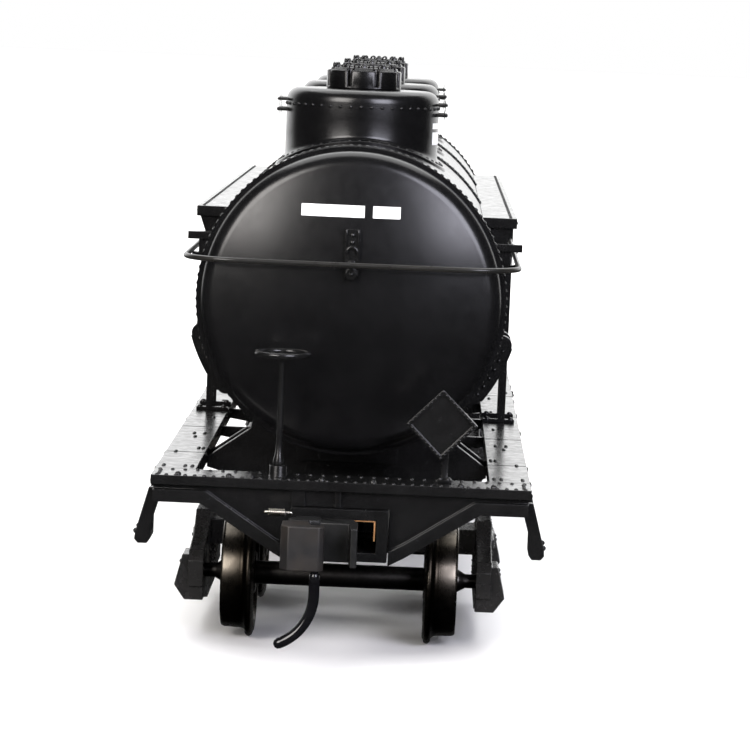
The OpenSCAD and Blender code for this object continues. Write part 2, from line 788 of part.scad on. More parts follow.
module brake_wheel() color(black)
    translate([staff_x, staff_y, brake_wheel_z]) difference() {
        union() {
            rotate_extrude() translate([brake_wheel_r - 0.25, 0]) circle(r = 0.25, $fn = 24);
            for (i = [0 : 4]) rotate([0, 0, i * 72])
                box([0.3, -0.2, -0.12], [brake_wheel_r - 0.3, 0.2, 0.12]);
            rod_z(0.58, 0, 0, -0.65, 0.2);
        }
        rod_z(staff_r, 0, 0, -1, 1, $fn = 32);
    }

// ---------------------------------------------------------------- trucks

// Side frame seen from the side, about the truck's centre
module side_frame_outline() {
    half = wheelbase / 2;
    difference() {
        for (m = [0, 1]) mirror([m, 0])
            polygon([[0, 9.9], [4, 9.9], [6.6, 8.2], [half + 1.8, 7.5], [half + 2.4, 6.6],
                     [half + 2.2, 4.4], [half - 2, 3.4], [5, 2.3], [0, 2.3]]);
        // window over the springs, and a window on each side
        translate([-2.7, 3.5]) square([5.4, 4.6]);
        for (m = [0, 1]) mirror([m, 0])
            polygon([[3.8, 7.8], [5.3, 7.4], [half - 2.3, 6.4], [half - 2.3, 5.2], [4.9, 3.9],
                     [3.8, 3.9]]);
    }
}

module truck_side(s, side) color(black)
    at_end(s) translate([truck_x, 0, 0]) mirror([0, side == L ? 1 : 0, 0]) {
        half = wheelbase / 2;
        out_y = side_in_y + side_t;
        box_half_l = 1.75;
        // section of a journal box, whose lid leans outwards towards its lower edge
        journal_box = [[side_in_y, 1.55], [journal_out_y - 0.65, 1.55], [journal_out_y, -1.1],
                       [journal_out_y - 0.9, -2.35], [side_in_y, -2.35]];
        difference() {
            union() {
                plate_xz(side_in_y, out_y) side_frame_outline();
                for (x = [-half, half]) translate([x - box_half_l, 0, axle_z])
                    rotate([90, 0, 90]) linear_extrude(2 * box_half_l) polygon(journal_box);
                for (x = [-1.6, 0, 1.6]) rod_z(0.75, x, side_in_y + 0.65, 3.5, 6.6);
                box([-2.7, side_in_y, 6.6], [2.7, out_y + 0.3, 8.1]);
            }
            for (x = [-half, half]) translate([x, side_in_y - 0.1, axle_z]) rotate([-90, 0, 0]) {
                cylinder(r = journal_r + fit, h = axle_tip_y - 0.4 - side_in_y + 0.1, $fn = 32);
                translate([0, 0, axle_tip_y - 0.4 - side_in_y + 0.1])
                    cylinder(r1 = journal_r + fit, r2 = 0.1, h = 0.55, $fn = 32);
            }
        }
    }

module truck_b_side_left() truck_side(B, L);
module truck_b_side_right() truck_side(B, R);
module truck_a_side_left() truck_side(A, R);
module truck_a_side_right() truck_side(A, L);

module truck_bolster(s) color(black)
    at_end(s) translate([truck_x, 0, 0]) difference() {
        union() {
            box([-2.3, -side_in_y, truck_bolster_low], [2.3, side_in_y, 8.8]);
            box([-2.3, -6, 8.8], [2.3, 6, 9.6]);
            rod_z(3, 0, 0, truck_bolster_low - 0.4, truck_bolster_top);
        }
        rod_z(king_hole_r, 0, 0, 0, 20);
        rod_z(2.1, 0, 0, 0, king_seat_z);
    }

module truck_b_bolster() truck_bolster(B);
module truck_a_bolster() truck_bolster(A);

// Axle with pin-point ends
module axle(x) color(steel) {
    shaft_y = side_in_y - 0.4;
    rod_y(axle_r, x, -10, 10, axle_z);
    rod_y(journal_r, x, -axle_tip_y + 0.45, axle_tip_y - 0.45, axle_z, $fn = 32);
    for (side = [L, R]) mirror([0, side == L ? 1 : 0, 0]) {
        translate([x, axle_tip_y - 0.45, axle_z]) rotate([-90, 0, 0])
            cylinder(r1 = journal_r, r2 = 0.08, h = 0.45, $fn = 32);
        translate([x, 10, axle_z]) rotate([-90, 0, 0])
            cylinder(r1 = axle_r, r2 = journal_r, h = shaft_y - 10.5, $fn = 32);
    }
}

axle_xs = [truck_x + wheelbase / 2, truck_x - wheelbase / 2,
           wheelbase / 2 - truck_x, -wheelbase / 2 - truck_x];
module axle_1() axle(axle_xs[0]);
module axle_2() axle(axle_xs[1]);
module axle_3() axle(axle_xs[2]);
module axle_4() axle(axle_xs[3]);

// Half the section of a wheel, drawn with its inner face at zero: flange, coned tread,
// rim and dished plate
module wheel_section() {
    tread_r = tread_d / 2;
    rim_r = tread_r - 0.75;
    hub_r = 1.7;
    polygon([[axle_r, 0], [hub_r, 0], [hub_r + 0.3, 0.5], [rim_r - 0.2, 0.5], [rim_r, 0],
             [tread_r + flange_h - 0.35, 0], [tread_r + flange_h, 0.25],
             [tread_r + flange_h, 0.4], [tread_r + flange_h - 0.2, 0.6],
             [tread_r + 0.12, 0.85], [tread_r, 1.1], [tread_r - 0.06, wheel_w - 0.15],
             [tread_r - 0.2, wheel_w], [rim_r, wheel_w], [rim_r - 0.25, wheel_w - 0.75],
             [hub_r + 0.25, wheel_w - 0.75], [hub_r, wheel_w - 0.2], [axle_r, wheel_w - 0.2]]);
}

module wheel_pair(x) color(steel)
    for (side = [L, R]) mirror([0, side == L ? 1 : 0, 0])
        translate([x, back_to_back / 2, axle_z]) rotate([-90, 0, 0])
            rotate_extrude($fn = 96) wheel_section();

module wheels_1() wheel_pair(axle_xs[0]);
module wheels_2() wheel_pair(axle_xs[1]);
module wheels_3() wheel_pair(axle_xs[2]);
module wheels_4() wheel_pair(axle_xs[3]);

// ---------------------------------------------------------------- the part

tank_barrel();
tank_head_b();
tank_head_a();
dome_b();
dome_centre();
dome_a();
hatch_b();
hatch_centre();
hatch_a();
hatch_bolts();
safety_valves();
dome_grab_irons();
platform_left();
platform_right();
ladder_left();
ladder_right();
handrail_left();
handrail_right();
handrail_end_b();
handrail_end_a();
handrail_posts();
centre_sill();
end_sill_b();
end_sill_a();
running_board_left();
running_board_right();
bolster_b();
bolster_a();
ballast_weight();
sill_steps();
placard_boards();
draft_box_b();
draft_box_a();
mounting_screws();
centring_springs();
brake_cylinder();
air_reservoir();
control_valve();
brake_staff();
brake_wheel();
coupler_b();
coupler_a();
knuckle_b();
knuckle_a();
trip_pin_b();
trip_pin_a();
truck_b_side_left();
truck_b_side_right();
truck_b_bolster();
truck_a_side_left();
truck_a_side_right();
truck_a_bolster();
axle_1();
axle_2();
axle_3();
axle_4();
wheels_1();
wheels_2();
wheels_3();
wheels_4();
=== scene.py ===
"""Looks of a model tank wagon with three domes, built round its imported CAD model. Metres.

+X runs towards the handbrake end (b), +Y is the right side seen from in front of that end.
"""

import json
import math

import bmesh
import bpy
import numpy as np
from mathutils import Matrix, Vector

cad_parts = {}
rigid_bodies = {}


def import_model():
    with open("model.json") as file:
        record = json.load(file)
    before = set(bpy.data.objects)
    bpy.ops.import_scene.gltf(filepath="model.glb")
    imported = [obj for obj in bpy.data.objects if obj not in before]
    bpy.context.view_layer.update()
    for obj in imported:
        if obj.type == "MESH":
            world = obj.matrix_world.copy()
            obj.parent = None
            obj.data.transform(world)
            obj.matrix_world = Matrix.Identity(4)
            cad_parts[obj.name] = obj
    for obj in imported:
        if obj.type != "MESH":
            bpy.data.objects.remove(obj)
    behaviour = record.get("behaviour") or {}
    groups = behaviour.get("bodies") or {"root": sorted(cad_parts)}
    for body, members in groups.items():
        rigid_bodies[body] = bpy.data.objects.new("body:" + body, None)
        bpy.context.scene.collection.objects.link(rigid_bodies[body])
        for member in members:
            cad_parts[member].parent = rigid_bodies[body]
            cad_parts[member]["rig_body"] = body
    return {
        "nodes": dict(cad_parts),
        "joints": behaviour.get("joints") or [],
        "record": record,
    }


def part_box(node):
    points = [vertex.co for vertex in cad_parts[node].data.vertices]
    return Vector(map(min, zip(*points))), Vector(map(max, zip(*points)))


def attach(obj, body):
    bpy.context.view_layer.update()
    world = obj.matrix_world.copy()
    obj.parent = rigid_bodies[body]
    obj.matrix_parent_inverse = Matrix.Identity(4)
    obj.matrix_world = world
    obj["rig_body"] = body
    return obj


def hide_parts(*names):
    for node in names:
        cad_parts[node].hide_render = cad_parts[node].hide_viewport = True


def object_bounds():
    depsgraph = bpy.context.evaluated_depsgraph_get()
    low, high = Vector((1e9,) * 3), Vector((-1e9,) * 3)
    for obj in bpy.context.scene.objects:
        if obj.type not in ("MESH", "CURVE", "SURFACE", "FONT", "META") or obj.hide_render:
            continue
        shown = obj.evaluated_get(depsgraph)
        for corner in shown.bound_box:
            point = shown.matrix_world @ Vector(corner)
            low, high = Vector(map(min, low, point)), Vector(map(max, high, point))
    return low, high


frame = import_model()
cad_low, cad_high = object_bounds()

MM = 0.001
ENDS = {"b": 1, "a": -1}
SIDES = {"left": -1, "right": 1}
SLOTS = {part["node"]: part["material_slot"] for part in frame["record"]["subparts"]}
JOINTS = {joint["name"]: joint for joint in frame["joints"]}


def low(node):
    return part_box(node)[0]


def high(node):
    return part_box(node)[1]


def middle(node):
    return (low(node) + high(node)) / 2


# ------------------------------------------------------------------ places taken from the frame

LAP_H = 0.12 * MM
LAP_W = 1.5 * MM
TANK_Z = middle("tank_barrel").z
LAP_R = high("tank_barrel").z - TANK_Z
TANK_R = LAP_R - LAP_H
TANK_WALL = 1.2 * MM
BARREL_X = high("tank_barrel").x
HEAD_X = high("tank_head_b").x
HEAD_R = high("tank_head_b").z - TANK_Z
DOME_XS = {name: middle("dome_" + name).x for name in ("b", "centre", "a")}
DOME_TOP = high("dome_b").z
DOME_FLANGE_W = 0.8 * MM
DOME_FLANGE_T = 0.28 * MM
DOME_R = (high("dome_b").x - low("dome_b").x) / 2 - DOME_FLANGE_W
DECK_Z = high("running_board_right").z
BOARD_IN_Y = low("running_board_right").y
FRAME_Y = high("running_board_right").y
FRAME_X = high("end_sill_b").x
BOARD_X = high("running_board_right").x
TRUCK_X = middle("truck_b_bolster").x


# ------------------------------------------------------------------ materials

class Shader:
    """A node material that is built round its Principled shader."""

    def __init__(self, name, **uniform):
        self.material = bpy.data.materials.new(name)
        self.material.use_nodes = True
        self.tree = self.material.node_tree
        self.surface = self.tree.nodes["Principled BSDF"]
        for socket, value in uniform.items():
            self.surface.inputs[socket.replace("_", " ")].default_value = value
        self.place = self.node("ShaderNodeTexCoord").outputs["Object"]

    def node(self, kind, sockets=None, **settings):
        made = self.tree.nodes.new(kind)
        for name, value in settings.items():
            setattr(made, name, value)
        for name, value in (sockets or {}).items():
            if isinstance(value, bpy.types.NodeSocket):
                self.tree.links.new(value, made.inputs[name])
            else:
                made.inputs[name].default_value = value
        return made

    def noise(self, size, detail=2.0, place=None, roughness=0.5):
        """Noise whose blots are about size across."""
        sockets = {"Vector": place or self.place, "Scale": 1 / size, "Detail": detail,
                   "Roughness": roughness}
        return self.node("ShaderNodeTexNoise", sockets).outputs["Fac"]

    def spread(self, value, from_low, from_high, to_low, to_high):
        sockets = {"Value": value, "From Min": from_low, "From Max": from_high,
                   "To Min": to_low, "To Max": to_high}
        return self.node("ShaderNodeMapRange", sockets).outputs["Result"]

    def maths(self, operation, a, b):
        return self.node("ShaderNodeMath", {0: a, 1: b}, operation=operation).outputs[0]

    def mix(self, factor, a, b):
        made = self.node("ShaderNodeMix", {"Factor": factor}, data_type="RGBA")
        for index, value in ((6, a), (7, b)):
            if isinstance(value, bpy.types.NodeSocket):
                self.tree.links.new(value, made.inputs[index])
            else:
                made.inputs[index].default_value = (*value, 1)
        return made.outputs[2]

    def bump(self, height, depth, normal=None):
        sockets = {"Height": height, "Distance": depth, "Strength": 1.0}
        if normal is not None:
            sockets["Normal"] = normal
        return self.node("ShaderNodeBump", sockets).outputs["Normal"]

    def into(self, socket, value):
        self.tree.links.new(value, self.surface.inputs[socket])


def painted(name, colour, rough, grain, depth, dust=0.35, warm=0.0):
    """Moulded or painted black: cloudy gloss, a fine grain, soft waves and dust on what faces up."""
    shader = Shader(name, Specular_IOR_Level=0.5)
    light = tuple(min(1, 1.25 * c + 0.0005 + warm * w) for c, w in zip(colour, (0.006, 0.003, 0)))
    cloud = shader.spread(shader.noise(2.2 * MM, 4), 0.35, 0.65, 0, 1)
    base = shader.mix(cloud, colour, light)
    up = shader.node("ShaderNodeSeparateXYZ", {"Vector": shader.node("ShaderNodeNewGeometry")
                                               .outputs["Normal"]}).outputs["Z"]
    speck = shader.spread(shader.noise(0.16 * MM, 3), 0.66, 0.78, 0, dust)
    dusty = shader.maths("MULTIPLY", shader.spread(up, 0.2, 1, 0.08, 1), speck)
    shader.into("Base Color", shader.mix(dusty, base, (0.19, 0.18, 0.17)))
    gloss = shader.spread(shader.noise(0.9 * MM, 5, roughness=0.6), 0.3, 0.7, *rough)
    shader.into("Roughness", shader.maths("ADD", gloss, shader.maths("MULTIPLY", dusty, 0.15)))
    waves = shader.bump(shader.noise(1.1 * MM, 1), 2.2 * depth)
    shader.into("Normal", shader.bump(shader.noise(grain, 2), depth, waves))
    return shader.material


def white_paint(name):
    """White printed ink: a little uneven at its edges and thickness."""
    shader = Shader(name, Specular_IOR_Level=0.5)
    thin = shader.spread(shader.noise(0.25 * MM, 4), 0.3, 0.7, 0, 1)
    shader.into("Base Color", shader.mix(thin, (0.72, 0.72, 0.71), (0.86, 0.86, 0.85)))
    shader.into("Roughness", shader.spread(thin, 0, 1, 0.55, 0.4))
    shader.into("Normal", shader.bump(shader.noise(0.12 * MM, 2), 0.002 * MM))
    return shader.material


def metal(name, colour, shade, rough, metallic=1.0):
    """Bare metal with fine scratches and a cloudy oxide."""
    shader = Shader(name, Metallic=metallic)
    stretch = shader.node("ShaderNodeMapping", {"Vector": shader.place, "Scale": (1, 9, 9)})
    drawn = shader.noise(0.5 * MM, 3, stretch.outputs["Vector"])
    cloud = shader.spread(shader.noise(0.7 * MM, 4), 0.35, 0.7, 0, 1)
    shader.into("Base Color", shader.mix(cloud, colour, shade))
    shader.into("Roughness", shader.spread(shader.maths("ADD", drawn, cloud), 0.4, 1.6, *rough))
    shader.into("Normal", shader.bump(drawn, 0.0008 * MM))
    return shader.material


def turned_metal(name, bright, tread, rough):
    """Turned metal: rings of tool marks, bright faces and a browned tread.

    The mesh carries the attribute turned: distance along the axle, radius, and 1 on the tread."""
    shader = Shader(name, Metallic=1.0)
    turned = shader.node("ShaderNodeAttribute", attribute_name="turned").outputs["Vector"]
    split = shader.node("ShaderNodeSeparateXYZ", {"Vector": turned})
    rings = shader.node("ShaderNodeCombineXYZ", {"X": split.outputs["X"],
                                                 "Y": split.outputs["Y"]}).outputs["Vector"]
    marks = shader.noise(0.045 * MM, 3, rings)
    cloud = shader.spread(shader.noise(0.8 * MM, 5), 0.3, 0.75, 0, 1)
    face = shader.mix(cloud, bright, tuple(0.72 * c for c in bright))
    worn = shader.maths("MULTIPLY", split.outputs["Z"], shader.spread(marks, 0.3, 0.7, 0.75, 1))
    shader.into("Base Color", shader.mix(worn, face, tread))
    shader.into("Roughness", shader.spread(shader.maths("ADD", marks, cloud), 0.4, 1.6, *rough))
    shader.into("Normal", shader.bump(marks, 0.0018 * MM))
    return shader.material


MATERIALS = {
    "tank_paint": painted("tank_paint", (0.0028, 0.0028, 0.003), (0.22, 0.27), 0.16 * MM,
                          0.0009 * MM, dust=0.25),
    "underframe_plastic": painted("underframe_plastic", (0.0045, 0.0045, 0.0045), (0.18, 0.28),
                                  0.1 * MM, 0.0014 * MM, dust=0.5),
    "detail_plastic": painted("detail_plastic", (0.0045, 0.0045, 0.0045), (0.18, 0.28), 0.1 * MM,
                              0.0014 * MM, dust=0.4),
    "black_wire": painted("black_wire", (0.009, 0.0088, 0.008), (0.26, 0.36), 0.09 * MM,
                          0.001 * MM, dust=0.2, warm=0.2),
    "truck_plastic": painted("truck_plastic", (0.014, 0.0135, 0.013), (0.2, 0.32), 0.1 * MM,
                             0.002 * MM, dust=0.4),
    "coupler_metal": painted("coupler_metal", (0.009, 0.0085, 0.0087), (0.4, 0.52), 0.08 * MM,
                             0.0016 * MM, dust=0.3, warm=1.0),
    "trip_pin_wire": painted("trip_pin_wire", (0.003, 0.003, 0.0035), (0.08, 0.14), 0.2 * MM,
                             0.0006 * MM, dust=0.1),
    "spring_bronze": metal("spring_bronze", (0.85, 0.45, 0.2), (0.62, 0.3, 0.12), (0.3, 0.45),
                           metallic=0.5),
    "screw_steel": metal("screw_steel", (0.33, 0.32, 0.3), (0.2, 0.19, 0.18), (0.3, 0.45)),
    "wheel_steel": turned_metal("wheel_steel", (0.13, 0.115, 0.095), (0.014, 0.011, 0.008),
                                (0.22, 0.36)),
    "axle_steel": metal("axle_steel", (0.09, 0.085, 0.08), (0.05, 0.047, 0.045), (0.3, 0.45)),
}
WHITE = white_paint("white_marks")
# A darker copy of the coupler paint, put on the coupler bodies as painted shade.
SHADED_COUPLER_PAINT = painted("dark_casting", (0.006, 0.006, 0.006), (0.3, 0.45), 0.08 * MM, 0.0016 * MM)
SPRING_WIRE = metal("spring_wire", (0.7, 0.66, 0.58), (0.5, 0.47, 0.42), (0.18, 0.3))


# ------------------------------------------------------------------ making meshes

def piece(name, verts, faces, slot, body, replaces=(), material=None, crease=50):
    """A finished piece: smooth but for its sharp edges, with its material, riding on its body."""
    mesh = bpy.data.meshes.new(name)
    mesh.from_pydata(np.asarray(verts, float).tolist(), [], [list(f) for f in faces])
    tidy = bmesh.new()
    tidy.from_mesh(mesh)
    bmesh.ops.recalc_face_normals(tidy, faces=tidy.faces)
    tidy.to_mesh(mesh)
    tidy.free()
    return dress(name, mesh, slot, body, replaces, material, crease)


def dress(name, mesh, slot, body, replaces=(), material=None, crease=50):
    mesh.polygons.foreach_set("use_smooth", [True] * len(mesh.polygons))
    mesh.set_sharp_from_angle(angle=math.radians(crease))
    mesh.materials.append(material or MATERIALS[slot])
    made = bpy.data.objects.new(name, mesh)
    bpy.context.scene.collection.objects.link(made)
    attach(made, body)
    if replaces:
        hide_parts(*replaces)
    return made


def refined(node, bevel):
    """The CAD node's own shape with broken edges, as its moulding or casting has."""
    edge_from = math.radians(32)
    shape = bmesh.new()
    shape.from_mesh(frame["nodes"][node].data)
    bmesh.ops.remove_doubles(shape, verts=shape.verts, dist=1e-7)
    bmesh.ops.dissolve_limit(shape, angle_limit=math.radians(0.4), verts=shape.verts,
                             edges=shape.edges)
    sharp = [e for e in shape.edges if e.is_manifold and e.calc_face_angle(0) > edge_from]
    if bevel:
        bmesh.ops.bevel(shape, geom=sharp, offset=bevel, offset_type="OFFSET", segments=2,
                        profile=0.6, affect="EDGES", clamp_overlap=False)
    mesh = bpy.data.meshes.new(node + "_finished")
    shape.to_mesh(mesh)
    shape.free()
    # Coupler bodies take the darker copy of their paint as painted shade; the knuckles keep the
    # lighter one.
    finish = SHADED_COUPLER_PAINT if node.startswith("coupler") else None
    made = dress(node + "_finished", mesh, SLOTS[node], frame["nodes"][node]["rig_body"], (node,),
                 finish)
    made.modifiers.new("flat_faces", "WEIGHTED_NORMAL").keep_sharp = True
    return made


def bridged(rings, sides):
    """Faces from each ring of vertex numbers to the next. A ring may be a single point."""
    faces = []
    for one, two in zip(rings, rings[1:]):
        for i in range(sides):
            corners = [one[i % len(one)], one[(i + 1) % sides % len(one)],
                       two[(i + 1) % sides % len(two)], two[i % len(two)]]
            face = list(dict.fromkeys(corners))
            if len(face) > 2:
                faces.append(face)
    return faces


def turn(profile, sides, closed=False):
    """Verts and faces of an outline of (along, radius) points turned round Z."""
    verts, rings = [], []
    for along, radius in profile:
        count = sides if radius > 1e-9 else 1
        rings.append(range(len(verts), len(verts) + count))
        for i in range(count):
            a = math.tau * i / sides
            verts.append((radius * math.cos(a), radius * math.sin(a), along))
    if closed:
        rings.append(rings[0])
    return np.array(verts), bridged(rings, sides)


def placed(verts, matrix):
    return np.asarray(verts) @ np.array(matrix.to_3x3()).T + np.array(matrix.translation)


def along_x(at, sign=1):
    """Stands what was turned round Z so that it points along X."""
    return Matrix.Translation(at) @ Matrix.Rotation(sign * math.pi / 2, 4, "Y")


def along_y(at, sign=1):
    return Matrix.Translation(at) @ Matrix.Rotation(-sign * math.pi / 2, 4, "X")


def joined(parts):
    """Several (verts, faces) as one."""
    verts, faces, start = [], [], 0
    for some_verts, some_faces in parts:
        verts.append(np.asarray(some_verts))
        faces += [[i + start for i in face] for face in some_faces]
        start += len(some_verts)
    return np.concatenate(verts), faces


def arc(centre, radius, from_a, to_a, steps):
    """Points of an arc in a plane, with angles in degrees."""
    angles = np.radians(np.linspace(from_a, to_a, steps))
    return [(centre[0] + radius * math.cos(a), centre[1] + radius * math.sin(a)) for a in angles]


def tube(points, radius, sides=16):
    """A round wire along the points, with domed ends."""
    points = np.asarray(points, float)
    ways = np.gradient(points, axis=0)
    ways /= np.linalg.norm(ways, axis=1)[:, None]
    side = np.cross(ways[0], (0.31, 0.52, 0.79))
    sides_at = []
    for way in ways:
        side = side - way * (side @ way)
        side /= np.linalg.norm(side)
        sides_at.append(side)
    dome = [(math.cos(a), math.sin(a)) for a in np.radians((0, 35, 65))]
    rings = [(points[0] - ways[0] * radius * s, 0, radius * c) for c, s in reversed(dome[1:])]
    rings += [(p, i, radius) for i, p in enumerate(points)]
    rings += [(points[-1] + ways[-1] * radius * s, -1, radius * c) for c, s in dome[1:]]
    angles = np.linspace(0, math.tau, sides, endpoint=False)
    verts, faces = [], []
    for centre, i, r in rings:
        u, v = sides_at[i], np.cross(ways[i], sides_at[i])
        verts += [centre + r * (math.cos(a) * u + math.sin(a) * v) for a in angles]
    for ring in range(len(rings) - 1):
        for i in range(sides):
            a, b = ring * sides + i, ring * sides + (i + 1) % sides
            faces.append([a, b, b + sides, a + sides])
    faces.append(list(range(sides)))
    faces.append([len(verts) - sides + i for i in range(sides)])
    return np.array(verts), faces


def coil(base, axis, length, radius, wire_r, turns, steps=14):
    """A helical spring that starts at base and runs along the axis."""
    axis = Vector(axis).normalized()
    u = axis.orthogonal().normalized()
    v = axis.cross(u)
    count = int(turns * steps) + 1
    points = []
    for i in range(count):
        a, t = math.tau * i / steps, i / (count - 1)
        points.append(Vector(base) + axis * length * t + radius * (u * math.cos(a) + v * math.sin(a)))
    return tube(points, wire_r, 8)


ROUND_HEAD = turn([(-0.6, 0), (-0.6, 1), (0.1, 1), (0.5, 0.86), (0.83, 0.52), (1, 0)], 10)
HEX_NUT = turn([(-0.3, 0), (-0.3, 1), (0.72, 1), (0.85, 0.86), (0.85, 0.5), (1.25, 0.46),
                (1.4, 0.3), (1.4, 0)], 6)


def studs(shape, sites, radius, height):
    """One copy of a unit shape at each (point, outward direction)."""
    verts, faces = shape
    points = np.array([s[0] for s in sites], float)
    ways = np.array([s[1] for s in sites], float)
    ways /= np.linalg.norm(ways, axis=1)[:, None]
    beside = np.where(np.abs(ways[:, 2:]) > 0.9, (1.0, 0, 0), (0, 0, 1.0))
    u = np.cross(beside, ways)
    u /= np.linalg.norm(u, axis=1)[:, None]
    v = np.cross(ways, u)
    across = verts[None, :, :1] * u[:, None] + verts[None, :, 1:2] * v[:, None]
    out = points[:, None] + radius * across + height * verts[None, :, 2:] * ways[:, None]
    count = len(verts)
    all_faces = [[i + k * count for i in face] for k in range(len(sites)) for face in faces]
    return out.reshape(-1, 3), all_faces


def row(start, end, count, way):
    """Sites evenly spaced from start to end."""
    a, b = np.array(start, float), np.array(end, float)
    return [(a + (b - a) * t, way) for t in np.linspace(0, 1, count)]


def round_tank(x, first_a, count):
    """Sites all round the tank on its laps. The first is first_a degrees up from +Y."""
    angles = np.radians(np.linspace(first_a, first_a + 360, count, endpoint=False))
    return [((x, LAP_R * math.cos(a), TANK_Z + LAP_R * math.sin(a)),
             (0, math.cos(a), math.sin(a))) for a in angles]


def slab(outer, inner):
    """A closed sheet between two grids of points of the same size."""
    rows, cols = len(outer), len(outer[0])
    verts = [p for grid in (outer, inner) for line in grid for p in line]

    def index(i, j, k=0):
        return k * rows * cols + i * cols + j

    faces = []
    for i in range(rows - 1):
        for j in range(cols - 1):
            quad = [(i, j), (i + 1, j), (i + 1, j + 1), (i, j + 1)]
            faces.append([index(*p) for p in quad])
            faces.append([index(*p, 1) for p in reversed(quad)])
    edge = [(i, 0) for i in range(rows)] + [(rows - 1, j) for j in range(1, cols)]
    edge += [(i, cols - 1) for i in range(rows - 2, -1, -1)] + [(0, j) for j in range(cols - 2, 0, -1)]
    for one, two in zip(edge, edge[1:] + edge[:1]):
        faces.append([index(*one), index(*one, 1), index(*two, 1), index(*two)])
    return verts, faces


# ------------------------------------------------------------------ tank

def tank_top(y):
    """Height of the tank's skin at a distance from the centre line."""
    return TANK_Z + math.sqrt(TANK_R * TANK_R - y * y)


LAP_XS = [s * x for s in (-1, 1)
          for x in (DOME_XS["b"] / 2, BARREL_X - LAP_W / 2)]


def barrel():
    """The riveted shell: sheets of plain skin with laps that stand proud, open at both ends."""
    chamfer = 0.07 * MM
    outer = [(-BARREL_X, LAP_R - chamfer)]
    for x in sorted(LAP_XS):
        start, end = x - LAP_W / 2, x + LAP_W / 2
        at_start, at_end = start <= -BARREL_X + 1e-6, end >= BARREL_X - 1e-6
        if not at_start:
            outer += [(start - 0.04 * MM, TANK_R), (start, TANK_R + 0.5 * LAP_H)]
        outer.append((start + chamfer, LAP_R))
        outer.append((end - chamfer, LAP_R))
        if not at_end:
            outer += [(end, TANK_R + 0.5 * LAP_H), (end + 0.04 * MM, TANK_R)]
    outer.append((BARREL_X, LAP_R - chamfer))
    inner = [(BARREL_X, TANK_R - TANK_WALL), (-BARREL_X, TANK_R - TANK_WALL)]
    verts, faces = turn(outer + inner, 256, closed=True)
    piece("barrel_shell", placed(verts, along_x((0, 0, TANK_Z))), faces, "tank_paint", "root",
          ["tank_barrel"], crease=25)


KNUCKLE_R = 1.6 * MM
BULGE = HEAD_X - BARREL_X
KNUCKLE_Y = HEAD_R - KNUCKLE_R
CROWN_R = (KNUCKLE_Y ** 2 + BULGE ** 2 - KNUCKLE_R ** 2) / (2 * (BULGE - KNUCKLE_R))


def crown_x(y, z):
    """Where the face of the b head is, for a point of it seen from the end."""
    out = y * y + (z - TANK_Z) ** 2
    return HEAD_X - CROWN_R + math.sqrt(CROWN_R ** 2 - out)


def tank_head(end, sign):
    """A dished head: crown, knuckle and the skirt that sits in the barrel."""
    touch = KNUCKLE_Y * CROWN_R / (CROWN_R - KNUCKLE_R)
    lean = math.degrees(math.asin(touch / CROWN_R))
    crown = arc((BULGE - CROWN_R, 0), CROWN_R, 0, lean, 40)
    knuckle = arc((0, KNUCKLE_Y), KNUCKLE_R, lean, 90, 16)
    skirt_r = TANK_R - TANK_WALL
    skirt = 3 * MM
    profile = crown + knuckle + [(0, skirt_r), (-skirt, skirt_r), (-skirt, 0)]
    verts, faces = turn(profile, 256)
    at = along_x((sign * BARREL_X, 0, TANK_Z), sign)
    piece(f"head_shell_{end}", placed(verts, at), faces, "tank_paint", "root",
          [f"tank_head_{end}"], crease=35)


def tank_rivets():
    """One row on each end lap, two on each inner lap."""
    pitch = 0.68 * MM
    count = round(math.tau * LAP_R / pitch)
    sites = []
    for x in LAP_XS:
        rows = [0.1 * MM * np.sign(x)] if abs(x) > BARREL_X - LAP_W else [-0.38 * MM, 0.38 * MM]
        for k, dx in enumerate(rows):
            sites += round_tank(x + dx, 180 * k / count, count)
    piece("tank_rivets", *studs(ROUND_HEAD, sites, 0.2 * MM, 0.11 * MM), "tank_paint", "root")


def ring_spots(x, count, radius):
    """Evenly spaced spots round the axis of a dome, each as x, y and its angle."""
    angles = np.radians(np.linspace(0, 360, count, endpoint=False))
    return [(x + radius * math.cos(a), radius * math.sin(a), a) for a in angles]


